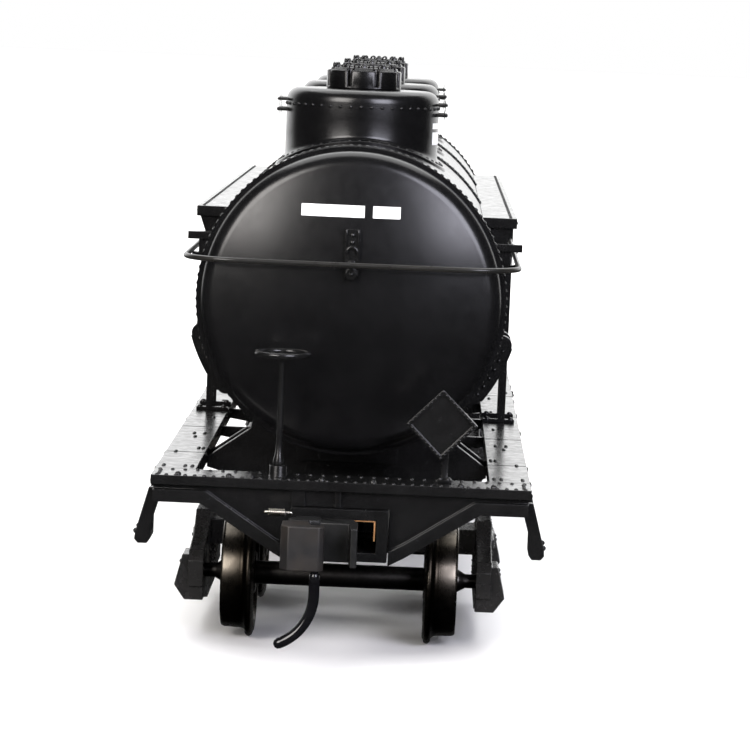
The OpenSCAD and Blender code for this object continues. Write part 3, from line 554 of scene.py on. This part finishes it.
def dome(name, x):
    """A dome with a round shoulder that flares into a flange lying on the tank."""
    sides = 128
    shoulder = 1.1 * MM
    wall = 1.0 * MM
    flare = 0.45 * MM
    flange = DOME_FLANGE_T
    flange_r = DOME_R + DOME_FLANGE_W
    sunk = -0.04 * MM
    skirt = ((DOME_R, flange + flare + 1.5 * MM), (DOME_R, flange + flare),
             (DOME_R + 0.07 * flare, flange + 0.6 * flare),
             (DOME_R + 0.3 * flare, flange + 0.25 * flare),
             (DOME_R + 0.7 * flare, flange + 0.05 * flare),
             (flange_r - 0.06 * MM, flange - 0.01 * MM), (flange_r, flange - 0.07 * MM),
             (flange_r, sunk), (DOME_R - wall, sunk))
    verts, rings = [], []

    def add_tip(z):
        verts.append((x, 0, z))
        rings.append(range(len(verts) - 1, len(verts)))

    def add_ring(radius, height, on_tank=False):
        """A ring at one height, or at that height above the tank's skin all round."""
        start = len(verts)
        for i in range(sides):
            a = math.tau * i / sides
            y = radius * math.sin(a)
            z = tank_top(y) + height if on_tank else height
            verts.append((x + radius * math.cos(a), y, z))
        rings.append(range(start, start + sides))

    add_tip(DOME_TOP)
    for radius in (0.35 * DOME_R, 0.7 * DOME_R):
        add_ring(radius, DOME_TOP)
    for z, radius in arc((DOME_TOP - shoulder, DOME_R - shoulder), shoulder, 0, 90, 10):
        add_ring(radius, z)
    for radius, height in skirt:
        add_ring(radius, height, on_tank=True)
    add_ring(DOME_R - wall, DOME_TOP - wall)
    add_tip(DOME_TOP - wall)
    piece(f"dome_shell_{name}", verts, bridged(rings, sides), "tank_paint", "root",
          [f"dome_{name}"], crease=40)

    rivets = [((px, py, DOME_TOP - 1.45 * MM), (math.cos(a), math.sin(a), 0))
              for px, py, a in ring_spots(x, 46, DOME_R)]
    for px, py, _ in ring_spots(x, 52, DOME_R + 0.52 * DOME_FLANGE_W):
        z = tank_top(py) + flange
        rivets.append(((px, py, z), (0, py, z - TANK_Z)))
    piece(f"dome_rivets_{name}", *studs(ROUND_HEAD, rivets, 0.17 * MM, 0.13 * MM), "tank_paint",
          "root")


def white_bars():
    """Plain white bars where such a wagon carries its marks."""
    rise, depth = 0.025 * MM, 0.02 * MM
    head_spans = ((-4.4 * MM, 0.9 * MM), (1.6 * MM, 3.9 * MM))
    head_zs = TANK_Z + np.linspace(7.25 * MM, 8.25 * MM, 4)
    dome_heights = ((43.6 * MM, 44.1 * MM), (42.2 * MM, 43.3 * MM))
    dome_angles = np.radians(np.linspace(68, 112, 16))
    bars = []
    for sign in ENDS.values():
        for y0, y1 in head_spans:
            ys = np.linspace(y0, y1, 12)
            grids = [[[(sign * (crown_x(y, z) + d), sign * y, z) for y in ys] for z in head_zs]
                     for d in (rise, -depth)]
            bars.append(slab(*grids))
    for x in DOME_XS.values():
        for z0, z1 in dome_heights:
            zs = np.linspace(z0, z1, 3)
            grids = [[[(x + (DOME_R + d) * math.cos(a), (DOME_R + d) * math.sin(a), z)
                       for a in dome_angles] for z in zs] for d in (rise, -depth)]
            bars.append(slab(*grids))
    piece("white_bars", *joined(bars), "tank_paint", "root", material=WHITE)


def hatch_details():
    """Nut and two eye bolts on each lobe of a hatch cover, and the cover's flat middle disc."""
    top = high("hatch_b").z
    bolt_r = 2.4 * MM
    eye_r = 2.75 * MM
    arch_h, arch_half = 0.34 * MM, 0.2 * MM
    sunk = Vector((0, 0, 0.1 * MM))
    lobes = 8
    beside_nut = 13.3
    nuts, eyes, discs = [], [], []
    for x in DOME_XS.values():
        for i in range(lobes):
            a = math.tau * i / lobes
            nuts.append(((x + bolt_r * math.cos(a), bolt_r * math.sin(a), top), (0, 0, 1)))
            for off in (-beside_nut, beside_nut):
                b = a + math.radians(off)
                foot = Vector((x + eye_r * math.cos(b), eye_r * math.sin(b), top))
                side = Vector((-math.sin(b), math.cos(b), 0)) * arch_half
                path = [foot + side - sunk]
                for t in np.radians(np.linspace(0, 180, 9)):
                    rise = arch_h - arch_half + arch_half * math.sin(t)
                    path.append(foot + side * math.cos(t) + Vector((0, 0, rise)))
                path.append(foot - side - sunk)
                eyes.append(tube(path, 0.07 * MM, 8))
        disc, faces = turn([(0, 0), (0, 1.5 * MM), (0.1 * MM, 1.44 * MM), (0.12 * MM, 0)], 48)
        discs.append((placed(disc, Matrix.Translation((x, 0, top))), faces))
    piece("hatch_nuts", *studs(HEX_NUT, nuts, 0.32 * MM, 0.28 * MM), "detail_plastic", "root",
          ["hatch_bolts"])
    piece("hatch_eye_bolts", *joined(eyes), "detail_plastic", "root")
    piece("hatch_discs", *joined(discs), "detail_plastic", "root")


# ------------------------------------------------------------------ platforms and handrails

def platform_bolts():
    """Rivets along the walkways' edges, at each gusset and on the ladder feet."""
    sites = []
    edge_y, top = high("platform_right").y, high("platform_right").z
    half = high("platform_right").x
    for side in SIDES.values():
        sites += row((-half + 1 * MM, side * (edge_y - 0.55 * MM), top),
                     (half - 1 * MM, side * (edge_y - 0.55 * MM), top), 42, (0, 0, 1))
        for k in range(-2, 3):
            x = k * (half - 0.5 * MM) / 2
            for dx in (-0.7 * MM, 0.7 * MM):
                if abs(x + dx) < half - 0.2 * MM:
                    sites.append(((x + dx, side * edge_y, top - 0.45 * MM), (0, side, 0)))
    piece("platform_rivets", *studs(ROUND_HEAD, sites, 0.15 * MM, 0.11 * MM), "detail_plastic",
          "root")
    feet = []
    for name, side in SIDES.items():
        node = "ladder_" + name
        strap_top = DECK_Z + 0.35 * MM
        for x in (low(node).x + 0.22 * MM, high(node).x - 0.22 * MM):
            for y in (BOARD_IN_Y + 0.45 * MM, FRAME_Y - 0.75 * MM):
                feet.append(((x, side * y, strap_top), (0, 0, 1)))
    piece("ladder_bolts", *studs(ROUND_HEAD, feet, 0.26 * MM, 0.2 * MM), "detail_plastic", "root")


def post_details():
    """Balls on the round posts and rivets on the bracket of each head."""
    post_xs = (-29 * MM, -5 * MM, 29 * MM)
    wire_r = 0.23 * MM
    ball_r = 0.5 * MM
    rail = middle("handrail_left").z
    rail_y = high("handrail_right").y - wire_r
    verts, faces = turn([(-1, 0), (-0.8, 0.6), (-0.4, 0.92), (0, 1), (0.4, 0.92), (0.8, 0.6),
                         (1, 0)], 16)
    balls = []
    for side in SIDES.values():
        for x in post_xs:
            at = Matrix.Translation((x, side * rail_y, rail))
            balls.append((placed(ball_r * verts, at), faces))
    piece("post_balls", *joined(balls), SLOTS["handrail_posts"], "root")
    rails, rivets = [], []
    for sign in ENDS.values():
        face = sign * (HEAD_X + 0.25 * MM)
        for z in (rail + 2.4 * MM, rail + 1.8 * MM):
            rivets.append(((face, 0, z), (sign, 0, 0)))
        for y in (-0.5 * MM, 0.5 * MM):
            line = [(face, y, rail + z * MM) for z in (1.6, 2.0, 2.4, 2.8)]
            rails.append(tube(line, 0.12 * MM, 10))
        hook = arc((0, rail + 1.0 * MM), 0.42 * MM, 0, 180, 12)
        rails.append(tube([(face + sign * 0.1 * MM, y, z) for y, z in hook], 0.16 * MM, 10))
        rivets.append(((sign * (HEAD_X + 0.55 * MM), 0, rail - 0.85 * MM), (sign, 0, 0)))
    piece("bracket_rivets", *studs(ROUND_HEAD, rivets, 0.22 * MM, 0.15 * MM),
          SLOTS["handrail_posts"], "root")
    piece("bracket_rails", *joined(rails), SLOTS["handrail_posts"], "root")


# ------------------------------------------------------------------ underframe

def deck_rivets():
    """Groups of rivets on the running boards and bumps along their outer edges."""
    # Places on a quarter of the deck, in mm from the wagon's middle.
    spots = ((12, 15.05), (6, 13.2), (20, 13.2), (32, 13.2), (32, 14.15), (34.5, 13.9),
             (42.3, 12.6), (42.3, 13.0), (45, 14.8), (54, 12.7), (54, 13.3), (54, 15.1))
    small, bumps = [], []
    for side in SIDES.values():
        for sign in ENDS.values():
            for x, y in spots:
                for dx in (-0.3 * MM, 0.3 * MM):
                    small.append(((sign * x * MM + dx, side * y * MM, DECK_Z), (0, 0, 1)))
            for x in (6, 20, 45, 54.5):
                bumps.append(((sign * x * MM, side * FRAME_Y, DECK_Z - 0.3 * MM), (0, side, 0)))
        small += row((-BOARD_X + 0.6 * MM, side * FRAME_Y, DECK_Z - 0.9 * MM),
                     (BOARD_X - 0.6 * MM, side * FRAME_Y, DECK_Z - 0.9 * MM), 56, (0, side, 0))
    piece("deck_rivets", *studs(ROUND_HEAD, small, 0.17 * MM, 0.12 * MM), "underframe_plastic",
          "root")
    piece("deck_edge_bolts", *studs(ROUND_HEAD, bumps, 0.3 * MM, 0.16 * MM),
          "underframe_plastic", "root")


def end_sill_rivets(end, sign):
    """Rivets along the edges of an end deck, with larger bolts between them."""
    deck = []
    for x, count in ((FRAME_X - 0.3 * MM, 40), (FRAME_X - 3.6 * MM, 30)):
        deck += row((sign * x, -FRAME_Y + 0.5 * MM, DECK_Z),
                    (sign * x, FRAME_Y - 0.5 * MM, DECK_Z), count, (0, 0, 1))
    for y in (-FRAME_Y + 0.6 * MM, FRAME_Y - 0.6 * MM):
        deck += row((sign * (FRAME_X - 3 * MM), y, DECK_Z),
                    (sign * (FRAME_X - 1 * MM), y, DECK_Z), 3, (0, 0, 1))
    piece(f"end_sill_rivets_{end}", *studs(ROUND_HEAD, deck, 0.17 * MM, 0.13 * MM),
          "underframe_plastic", "root")
    big = [((sign * (FRAME_X - 0.8 * MM), sign * y * MM, DECK_Z), (0, 0, 1))
           for y in (-13.5, -9.3, -7.4, -1.6, 2.6, 9.9, 12.6)]
    piece(f"end_deck_bolts_{end}", *studs(ROUND_HEAD, big, 0.28 * MM, 0.28 * MM),
          "underframe_plastic", "root")


def saddle_rivets():
    """Rivets along the wings of both saddles, on the faces and on the band round the tank."""
    half_plate = 2.3 * MM
    wing_r = TANK_R + 1.0 * MM
    band_r = TANK_R + 0.4 * MM
    sites = []
    for sign in ENDS.values():
        for out in (-1, 1):
            x = sign * TRUCK_X + out * half_plate
            for side in SIDES.values():
                for a in np.radians(np.linspace(-19, -37, 6)):
                    sites.append(((x, side * wing_r * math.cos(a), TANK_Z + wing_r * math.sin(a)),
                                  (out, 0, 0)))
        for side in SIDES.values():
            for a in np.radians(np.linspace(-19, -60, 12)):
                for dx in (-0.8 * MM, 0.8 * MM):
                    sites.append(((sign * TRUCK_X + dx, side * band_r * math.cos(a),
                                   TANK_Z + band_r * math.sin(a)),
                                  (0, side * math.cos(a), math.sin(a))))
    piece("saddle_rivets", *studs(ROUND_HEAD, sites, 0.18 * MM, 0.14 * MM), "underframe_plastic",
          "root")


def placard_details():
    """Raised beads round the edge of each placard board, and its fixing bolts."""
    beads, bolts = [], []
    board_x, board_y, board_z = 57.4 * MM, 8.1 * MM, 19.85 * MM
    board_side, board_t, bead_in = 4.2 * MM, 0.5 * MM, 0.15 * MM
    reach = (board_side / 2 - bead_in) * math.sqrt(2)
    corners = [Vector((0, 0, reach)), Vector((0, reach, 0)), Vector((0, 0, -reach)),
               Vector((0, -reach, 0))]
    for sign in ENDS.values():
        centre = Vector((0, sign * board_y, board_z))
        face = sign * (board_x + board_t)
        for one, two in zip(corners, corners[1:] + corners[:1]):
            for t in np.linspace(0, 1, 9, endpoint=False):
                at = centre + one.lerp(two, t)
                beads.append(((face, at.y, at.z), (sign, 0, 0)))
        for dy in (0.05 * MM, 0.7 * MM):
            bolts.append(((sign * (board_x + 0.05 * MM), sign * (board_y + dy), DECK_Z + 0.3 * MM),
                          (0, 0, 1)))
    piece("placard_beads", *studs(ROUND_HEAD, beads, 0.13 * MM, 0.08 * MM), "detail_plastic",
          "root")
    piece("placard_bolts", *studs(ROUND_HEAD, bolts, 0.22 * MM, 0.2 * MM), "detail_plastic",
          "root")


def step_bolts():
    """A bolt at the top of each leg of the stirrup steps and a small one near its foot."""
    tops, feet = [], []
    leg_xs = (FRAME_X - 2.1 * MM, FRAME_X - 4.9 * MM)
    ball_y = high("sill_steps").y - 0.12 * MM
    ball_z = low("sill_steps").z + 1.01 * MM
    for sign in ENDS.values():
        for side in SIDES.values():
            for x in leg_xs:
                tops.append(((sign * x, side * FRAME_Y, DECK_Z - 0.75 * MM), (0, side, 0)))
                feet.append(((sign * x, side * ball_y, ball_z), (0, side, 0.2)))
    piece("step_bolts", *joined([studs(ROUND_HEAD, tops, 0.26 * MM, 0.2 * MM),
                                 studs(ROUND_HEAD, feet, 0.24 * MM, 0.24 * MM)]),
          SLOTS["sill_steps"], "root")


def brake_piping():
    """Pipes between reservoir, valve and cylinder, the piston's rod, and bolts."""
    pipe_r = 0.24 * MM
    valve, tank, cyl = middle("control_valve"), middle("air_reservoir"), middle("brake_cylinder")
    pipe_z, branch_z, rod_z = 10.8 * MM, 11.2 * MM, 10.6 * MM
    branch_x, branch_y, outer_y, rod_y = 8.6 * MM, -6 * MM, -10.4 * MM, -4.2 * MM
    flange_x, flange_r = 1.4 * MM, 2.02 * MM

    def bent(corners, radius=1.0 * MM):
        """A line through the corners with its bends rounded."""
        points = [Vector(corners[0])]
        for before, at, after in zip(corners, corners[1:], corners[2:]):
            at = Vector(at)
            start = at + (Vector(before) - at).normalized() * radius
            end = at + (Vector(after) - at).normalized() * radius
            points += [start.lerp(at, t).lerp(at.lerp(end, t), t) for t in np.linspace(0, 1, 7)]
        return points + [Vector(corners[-1])]

    runs = [
        bent([(valve.x, -4.4 * MM, pipe_z), (valve.x, 6.6 * MM, pipe_z),
              (high("air_reservoir").x - 0.4 * MM, 8.4 * MM, pipe_z)]),
        bent([(valve.x - 2.6 * MM, branch_y, branch_z), (branch_x, branch_y, branch_z),
              (branch_x, outer_y, branch_z), (0.4 * MM, outer_y, 11.9 * MM)]),
    ]
    piece("brake_pipes", *joined([tube(points, pipe_r, 12) for points in runs]),
          "black_wire", "root")
    rod = bent([(6.2 * MM, cyl.y, cyl.z), (11 * MM, cyl.y, rod_z), (28 * MM, rod_y, rod_z),
                (33 * MM, rod_y, rod_z)], 1.4 * MM)
    piece("brake_rod", *tube(rod, 0.2 * MM, 10), "black_wire", "root")
    flange = [((flange_x, cyl.y + flange_r * math.cos(a), cyl.z + flange_r * math.sin(a)),
               (1, 0, 0)) for a in np.radians(range(0, 360, 60))]
    strap = [((x, tank.y + dy * MM, high("air_reservoir").z - 0.4 * MM), (0, 0, -1))
             for x in (-6.2 * MM, 6.2 * MM) for dy in (-0.8, 0.8)]
    piece("brake_gear_bolts", *studs(HEX_NUT, flange + strap, 0.24 * MM, 0.16 * MM),
          "underframe_plastic", "root")


# ------------------------------------------------------------------ handbrake

def handbrake():
    """Dished hand wheel with five spokes on a turned staff with a nut on top."""
    staff = middle("brake_staff")
    wheel_z = high("brake_wheel").z - 0.25 * MM
    outer = (high("brake_wheel").x - low("brake_wheel").x) / 2
    rim_r = 0.25 * MM
    knob_r = 0.32 * MM
    section = arc((0, outer - rim_r), rim_r, 0, 360, 17)[:-1]
    verts, faces = turn(section, 64, closed=True)
    parts = [(placed(verts, Matrix.Translation((staff.x, staff.y, wheel_z))), faces)]
    for i in range(5):
        a = math.tau * i / 5
        way = Vector((math.cos(a), math.sin(a), 0))
        points = []
        for t in np.linspace(0, 1, 9):
            reach = 0.35 * MM + t * (outer - rim_r - 0.4 * MM)
            dip = -0.3 * MM * math.cos(t * math.pi / 2)
            points.append(Vector((staff.x, staff.y, wheel_z + dip)) + way * reach)
        parts.append(tube(points, 0.17 * MM, 10))
    hub = [(-0.62 * MM, 0), (-0.62 * MM, 0.42 * MM), (-0.5 * MM, 0.56 * MM), (-0.1 * MM, 0.56 * MM),
           (0.02 * MM, 0.46 * MM), (0.02 * MM, 0)]
    verts, faces = turn(hub, 32)
    parts.append((placed(verts, Matrix.Translation((staff.x, staff.y, wheel_z))), faces))
    piece("hand_wheel", *joined(parts), SLOTS["brake_wheel"], "handbrake", ["brake_wheel"])
    nut = studs(HEX_NUT, [((staff.x, staff.y, wheel_z), (0, 0, 1))], 0.3 * MM, 0.16 * MM)
    knob = turn([(-1, 0), (-0.7, 0.7), (0, 1), (0.7, 0.7), (1, 0)], 16)
    grip_at = Matrix.Translation((staff.x, staff.y - outer + knob_r, wheel_z))
    grip = placed(knob_r * knob[0], grip_at)
    piece("hand_wheel_nut", *joined([nut, (grip, knob[1])]), SLOTS["brake_wheel"], "handbrake")
    r = 0.26 * MM
    foot = low("brake_staff").z
    profile = [(foot, 0), (foot, r), (DECK_Z + 0.93 * MM, r), (DECK_Z + 0.95 * MM, 0.48 * MM),
               (DECK_Z + 1.3 * MM, 0.48 * MM), (DECK_Z + 1.8 * MM, 0.34 * MM),
               (DECK_Z + 2.8 * MM, r), (wheel_z - 0.1 * MM, 0.9 * r), (wheel_z - 0.1 * MM, 0)]
    verts, faces = turn(profile, 24)
    piece("staff_rod", placed(verts, Matrix.Translation((staff.x, staff.y, 0))), faces,
          SLOTS["brake_staff"], "handbrake", ["brake_staff"])


# ------------------------------------------------------------------ couplers

def trip_pin(end, sign):
    """Curved wire below the knuckle, with a thinner spigot inside it and a round tip."""
    node = f"trip_pin_{end}"
    lo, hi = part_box(node)
    r = 0.45 * MM
    spigot_r = 0.3 * MM
    bend = 4.4 * MM
    bend_a = 72
    x = (lo.x + hi.x) / 2
    y = sign * (max(sign * lo.y, sign * hi.y) - r)
    shoulder = hi.z - 0.9 * MM
    stem_low = lo.z + bend * math.sin(math.radians(bend_a)) + r * math.cos(math.radians(bend_a))
    points = [(x, y, shoulder - r - (shoulder - r - stem_low) * t) for t in np.linspace(0, 1, 4)]
    for a in np.radians(np.linspace(4, bend_a - 5, 24)):
        points.append((x, y - sign * bend * (1 - math.cos(a)), stem_low - bend * math.sin(a)))
    spigot = tube([(x, y, shoulder - 0.3 * MM), (x, y, hi.z - spigot_r)], spigot_r, 16)
    piece(f"trip_pin_wire_{end}", *joined([tube(points, 0.98 * r, 28), spigot]), SLOTS[node],
          f"knuckle_{end}", [node])


def knuckle_spring(end, sign):
    """Small coil that closes the knuckle, beside the coupler's head."""
    pivot = Vector(JOINTS[f"knuckle_{end}_open"]["pos_m"])
    base = pivot + Vector((sign * -0.6 * MM, sign * -1.3 * MM, 2.1 * MM))
    spring = coil(base, (0, -sign, 0), 1.35 * MM, 0.27 * MM, 0.075 * MM, 8)
    core = tube([base - Vector((0, -sign * 0.5 * MM, 0)),
                 base + Vector((0, -sign * 1.6 * MM, 0))], 0.13 * MM, 10)
    piece(f"knuckle_spring_{end}", *joined([spring, core]), "coupler_metal", f"coupler_{end}",
          material=SPRING_WIRE)


# ------------------------------------------------------------------ trucks

def truck_details(end, sign):
    """Coil springs and rivets of a truck's side frames."""
    body = f"truck_{end}"
    springs, rivets = [], []
    x0 = sign * TRUCK_X
    lid_y = 13.58 * MM
    axle_z = middle("axle_1").z
    half = abs(middle("axle_1").x - middle("axle_2").x) / 2
    face_y = 12.9 * MM
    spring_y, spring_foot, spring_h = 12.25 * MM, 3.6 * MM, 2.9 * MM
    middle_rows = ((13.2 * MM, 7.35 * MM), (face_y, 2.9 * MM), (face_y, 9.1 * MM))
    for side in SIDES.values():
        for dx in (-1.6, 0, 1.6):
            base = (x0 + dx * MM, side * spring_y, spring_foot)
            springs.append(coil(base, (0, 0, 1), spring_h, 0.72 * MM, 0.16 * MM, 5.5, 18))
        for wheel in (-half, half):
            for dx in (-1.2, 1.2):
                rivets.append(((x0 + wheel + dx * MM, side * lid_y, axle_z + 0.9 * MM),
                               (0, side, 0.25)))
            inward = -math.copysign(1, wheel)
            for k in range(3):
                rivets.append(((x0 + wheel + inward * (2.6 + 0.9 * k) * MM, side * face_y,
                                axle_z + (1.55 + 0.18 * k) * MM), (0, side, 0)))
                rivets.append(((x0 + wheel + inward * (2.4 + 0.9 * k) * MM, side * face_y,
                                axle_z - (1.7 + 0.15 * k) * MM), (0, side, 0)))
        for dx in (-2.2, -0.8, 0.8, 2.2):
            rivets += [((x0 + dx * MM, side * y, z), (0, side, 0)) for y, z in middle_rows]
    piece(f"truck_springs_{end}", *joined(springs), "truck_plastic", body)
    piece(f"truck_rivets_{end}", *studs(ROUND_HEAD, rivets, 0.2 * MM, 0.15 * MM),
          "truck_plastic", body)


def wheel_profile():
    """Outline of a wheel about its axle as (along, radius), from its inner face outwards."""
    node = "wheels_1"
    flange_r = (high(node).z - low(node).z) / 2
    tread_r = flange_r - 0.69 * MM
    rim_r = tread_r - 0.75 * MM
    hub_r = 1.7 * MM
    axle_r = 1.0 * MM
    width = 2.8 * MM
    flange = arc((0.42 * MM, flange_r - 0.3 * MM), 0.3 * MM, 180, 20, 9)
    fillet = arc((1.12 * MM, tread_r + 0.42 * MM), 0.42 * MM, 200, 268, 6)
    plate = arc((width, 0.5 * (rim_r + hub_r)), 0.5 * (rim_r - hub_r), 90, 270, 15)
    dished = [(width - 0.75 * MM * math.sin(math.pi * k / 14) ** 0.5, r)
              for k, (_, r) in enumerate(plate)]
    back = [(0.5 * MM * math.sin(math.pi * k / 10) ** 0.5, hub_r + (rim_r - hub_r) * k / 10)
            for k in range(11)]
    return ([(0, axle_r), (0, hub_r)] + back[1:-1] + [(0, rim_r)]
            + [(0, flange_r - 0.55 * MM)] + flange + fillet
            + [(width - 0.28 * MM, tread_r - 0.07 * MM), (width - 0.08 * MM, tread_r - 0.14 * MM),
               (width, tread_r - 0.24 * MM)]
            + dished + [(width - 0.1 * MM, hub_r - 0.15 * MM), (width - 0.1 * MM, axle_r)])


def wheelset(number):
    """Two turned wheels with their tool marks, on the axle that the frame gives."""
    node = f"wheels_{number}"
    axle = middle(f"axle_{number}")
    inner_y = 7.2 * MM
    sides = 96
    profile = wheel_profile()
    tread_from = max(range(len(profile)), key=lambda i: profile[i][1])
    tread_to = tread_from + 11
    parts, turned = [], []
    for side in SIDES.values():
        verts, faces = turn(profile, sides, closed=True)
        for ring, (along, radius) in enumerate(profile):
            on_tread = 1.0 if tread_from < ring < tread_to else 0.0
            turned += [(along, radius, on_tread)] * sides
        parts.append((placed(verts, along_y((axle.x, side * inner_y, axle.z), side)), faces))
    made = piece(f"wheel_pair_{number}", *joined(parts), SLOTS[node], f"wheelset_{number}", [node],
                 crease=38)
    marks = made.data.attributes.new("turned", "FLOAT_VECTOR", "POINT")
    marks.data.foreach_set("vector", np.array(turned, np.float32).ravel())


# ------------------------------------------------------------------ the whole wagon

barrel()
for end, sign in ENDS.items():
    tank_head(end, sign)
for name, x in DOME_XS.items():
    dome(name, x)
tank_rivets()
white_bars()
hatch_details()
platform_bolts()
post_details()
deck_rivets()
for end, sign in ENDS.items():
    end_sill_rivets(end, sign)
    trip_pin(end, sign)
    knuckle_spring(end, sign)
    truck_details(end, sign)
saddle_rivets()
placard_details()
step_bolts()
brake_piping()
handbrake()
for number in range(1, 5):
    wheelset(number)

# How wide the edges of the nodes kept from the CAD are broken, in mm, by how their names start.
BEVELS = {
    "hatch": 0.14, "platform": 0.07, "end_sill": 0.07, "running_board": 0.06, "bolster": 0.06,
    "draft_box": 0.07, "coupler": 0.1, "knuckle": 0.12, "truck": 0.09, "sill_steps": 0.08,
    "placard": 0.05, "ladder": 0.05, "handrail_posts": 0.05, "handrail": 0, "axle": 0.04,
    "mounting": 0.06, "centring": 0.02, "ballast": 0.15,
}
OTHER_BEVEL = 0.05
for node, shape in frame["nodes"].items():
    if not shape.hide_render:
        sizes = [size for start, size in BEVELS.items() if node.startswith(start)]
        refined(node, (sizes[0] if sizes else OTHER_BEVEL) * MM)


# ------------------------------------------------------------------ floor, light and camera

def floor():
    """A plain pale floor at the height of the wheel flanges, which nothing glossy mirrors."""
    shader = Shader("pale_floor", Specular_IOR_Level=0.3)
    cloud = shader.spread(shader.noise(0.05, 2), 0.3, 0.7, 0, 1)
    shader.into("Base Color", shader.mix(cloud, (0.93, 0.925, 0.92), (0.96, 0.955, 0.95)))
    shader.into("Roughness", shader.spread(cloud, 0, 1, 0.55, 0.65))
    shader.into("Normal", shader.bump(shader.noise(0.4 * MM, 3), 0.003 * MM))
    radius = 4.0
    steps = 8
    rings = [(0, radius * k / steps) for k in range(steps + 1)]
    verts, faces = turn(rings, 96)
    mesh = bpy.data.meshes.new("floor")
    mesh.from_pydata(verts.tolist(), [], faces)
    mesh.flip_normals()
    mesh.materials.append(shader.material)
    made = bpy.data.objects.new("floor", mesh)
    made.location.z = cad_low.z
    made.visible_glossy = False
    bpy.context.scene.collection.objects.link(made)


def softbox(name, azimuth, elevation, size, power, tint=(1, 1, 1), distance=0.75):
    """An area light that faces the wagon. Azimuth 0 is in front of the b end."""
    target = Vector((0.02, 0, 0.025))
    a, e = math.radians(azimuth), math.radians(elevation)
    way = Vector((math.cos(a) * math.cos(e), math.sin(a) * math.cos(e), math.sin(e)))
    lamp = bpy.data.lights.new(name, "AREA")
    lamp.shape = "RECTANGLE"
    lamp.size, lamp.size_y = size
    lamp.energy = power
    lamp.color = tint
    made = bpy.data.objects.new(name, lamp)
    made.location = target + way * distance
    made.rotation_mode = "QUATERNION"
    made.rotation_quaternion = (-way).to_track_quat("-Z", "Y")
    made.visible_camera = False
    bpy.context.scene.collection.objects.link(made)


def studio():
    """Two soft boxes in front, one above and a wide sun that nothing glossy mirrors.

    The camera sees white all round. Everything else sees a dark room that is bright only
    behind the a end and above the floor, where the wagon's edges mirror it."""
    world = bpy.data.worlds.new("studio")
    bpy.context.scene.world = world
    world.use_nodes = True
    tree = world.node_tree
    ground = tree.nodes["Background"]
    way = tree.nodes.new("ShaderNodeSeparateXYZ")
    tree.links.new(tree.nodes.new("ShaderNodeTexCoord").outputs["Generated"], way.inputs[0])

    def ramp(axis, from_low, from_high, to_low, to_high):
        """A soft step in how bright the room is along one axis."""
        made = tree.nodes.new("ShaderNodeMapRange")
        made.interpolation_type = "SMOOTHSTEP"
        limits = {"From Min": from_low, "From Max": from_high, "To Min": to_low, "To Max": to_high}
        for socket, value in limits.items():
            made.inputs[socket].default_value = value
        tree.links.new(way.outputs[axis], made.inputs["Value"])
        return made.outputs["Result"]

    both = tree.nodes.new("ShaderNodeMath")
    both.operation = "MULTIPLY"
    tree.links.new(ramp("X", -0.78, -0.5, 1.9, 0.03), both.inputs[0])
    tree.links.new(ramp("Z", -0.12, 0.0, 0.02, 1.0), both.inputs[1])
    seen = tree.nodes.new("ShaderNodeLightPath")
    strength = tree.nodes.new("ShaderNodeMix")
    tree.links.new(seen.outputs["Is Camera Ray"], strength.inputs["Factor"])
    tree.links.new(both.outputs["Value"], strength.inputs["A"])
    strength.inputs["B"].default_value = 1.0
    tree.links.new(strength.outputs["Result"], ground.inputs["Strength"])
    ground.inputs["Color"].default_value = (1, 1, 1, 1)
    softbox("right_box", azimuth=31, elevation=24, size=(0.36, 0.4), power=5.0,
            tint=(0.88, 0.88, 1.0))
    softbox("left_box", azimuth=-33, elevation=24, size=(0.36, 0.4), power=4.6,
            tint=(1.0, 0.96, 0.93))
    softbox("top_box", azimuth=180, elevation=68, size=(0.8, 0.6), power=4.0, distance=0.7)
    overhead = bpy.data.lights.new("overhead", "SUN")
    overhead.energy = 3.2
    overhead.angle = math.radians(70)
    made = bpy.data.objects.new("overhead", overhead)
    made.visible_glossy = False
    bpy.context.scene.collection.objects.link(made)


def camera():
    """Looks at the b end from a little above, tilted with the lean that the wagon stood at."""
    distance, to_right, above_deck = 0.26605, 0.00628, 0.03759
    turned_left, turned_down = 0.0145, 0.1074
    lean = 0.0417
    eye = Vector((FRAME_X + distance, to_right, DECK_Z + above_deck))
    way = Vector((-1, -turned_left, -turned_down)).normalized()
    right = way.cross(Vector((0, -lean, 1))).normalized()
    lens = bpy.data.cameras.new("camera")
    lens.lens = 156.8
    lens.sensor_width = 36
    lens.clip_start = 0.02
    lens.clip_end = 50
    made = bpy.data.objects.new("camera", lens)
    facing = Matrix((right, right.cross(way), -way)).transposed()
    made.matrix_world = Matrix.Translation(eye) @ facing.to_4x4()
    bpy.context.scene.collection.objects.link(made)
    bpy.context.scene.camera = made


floor()
studio()
camera()
bpy.context.scene.view_settings.view_transform = "Standard"
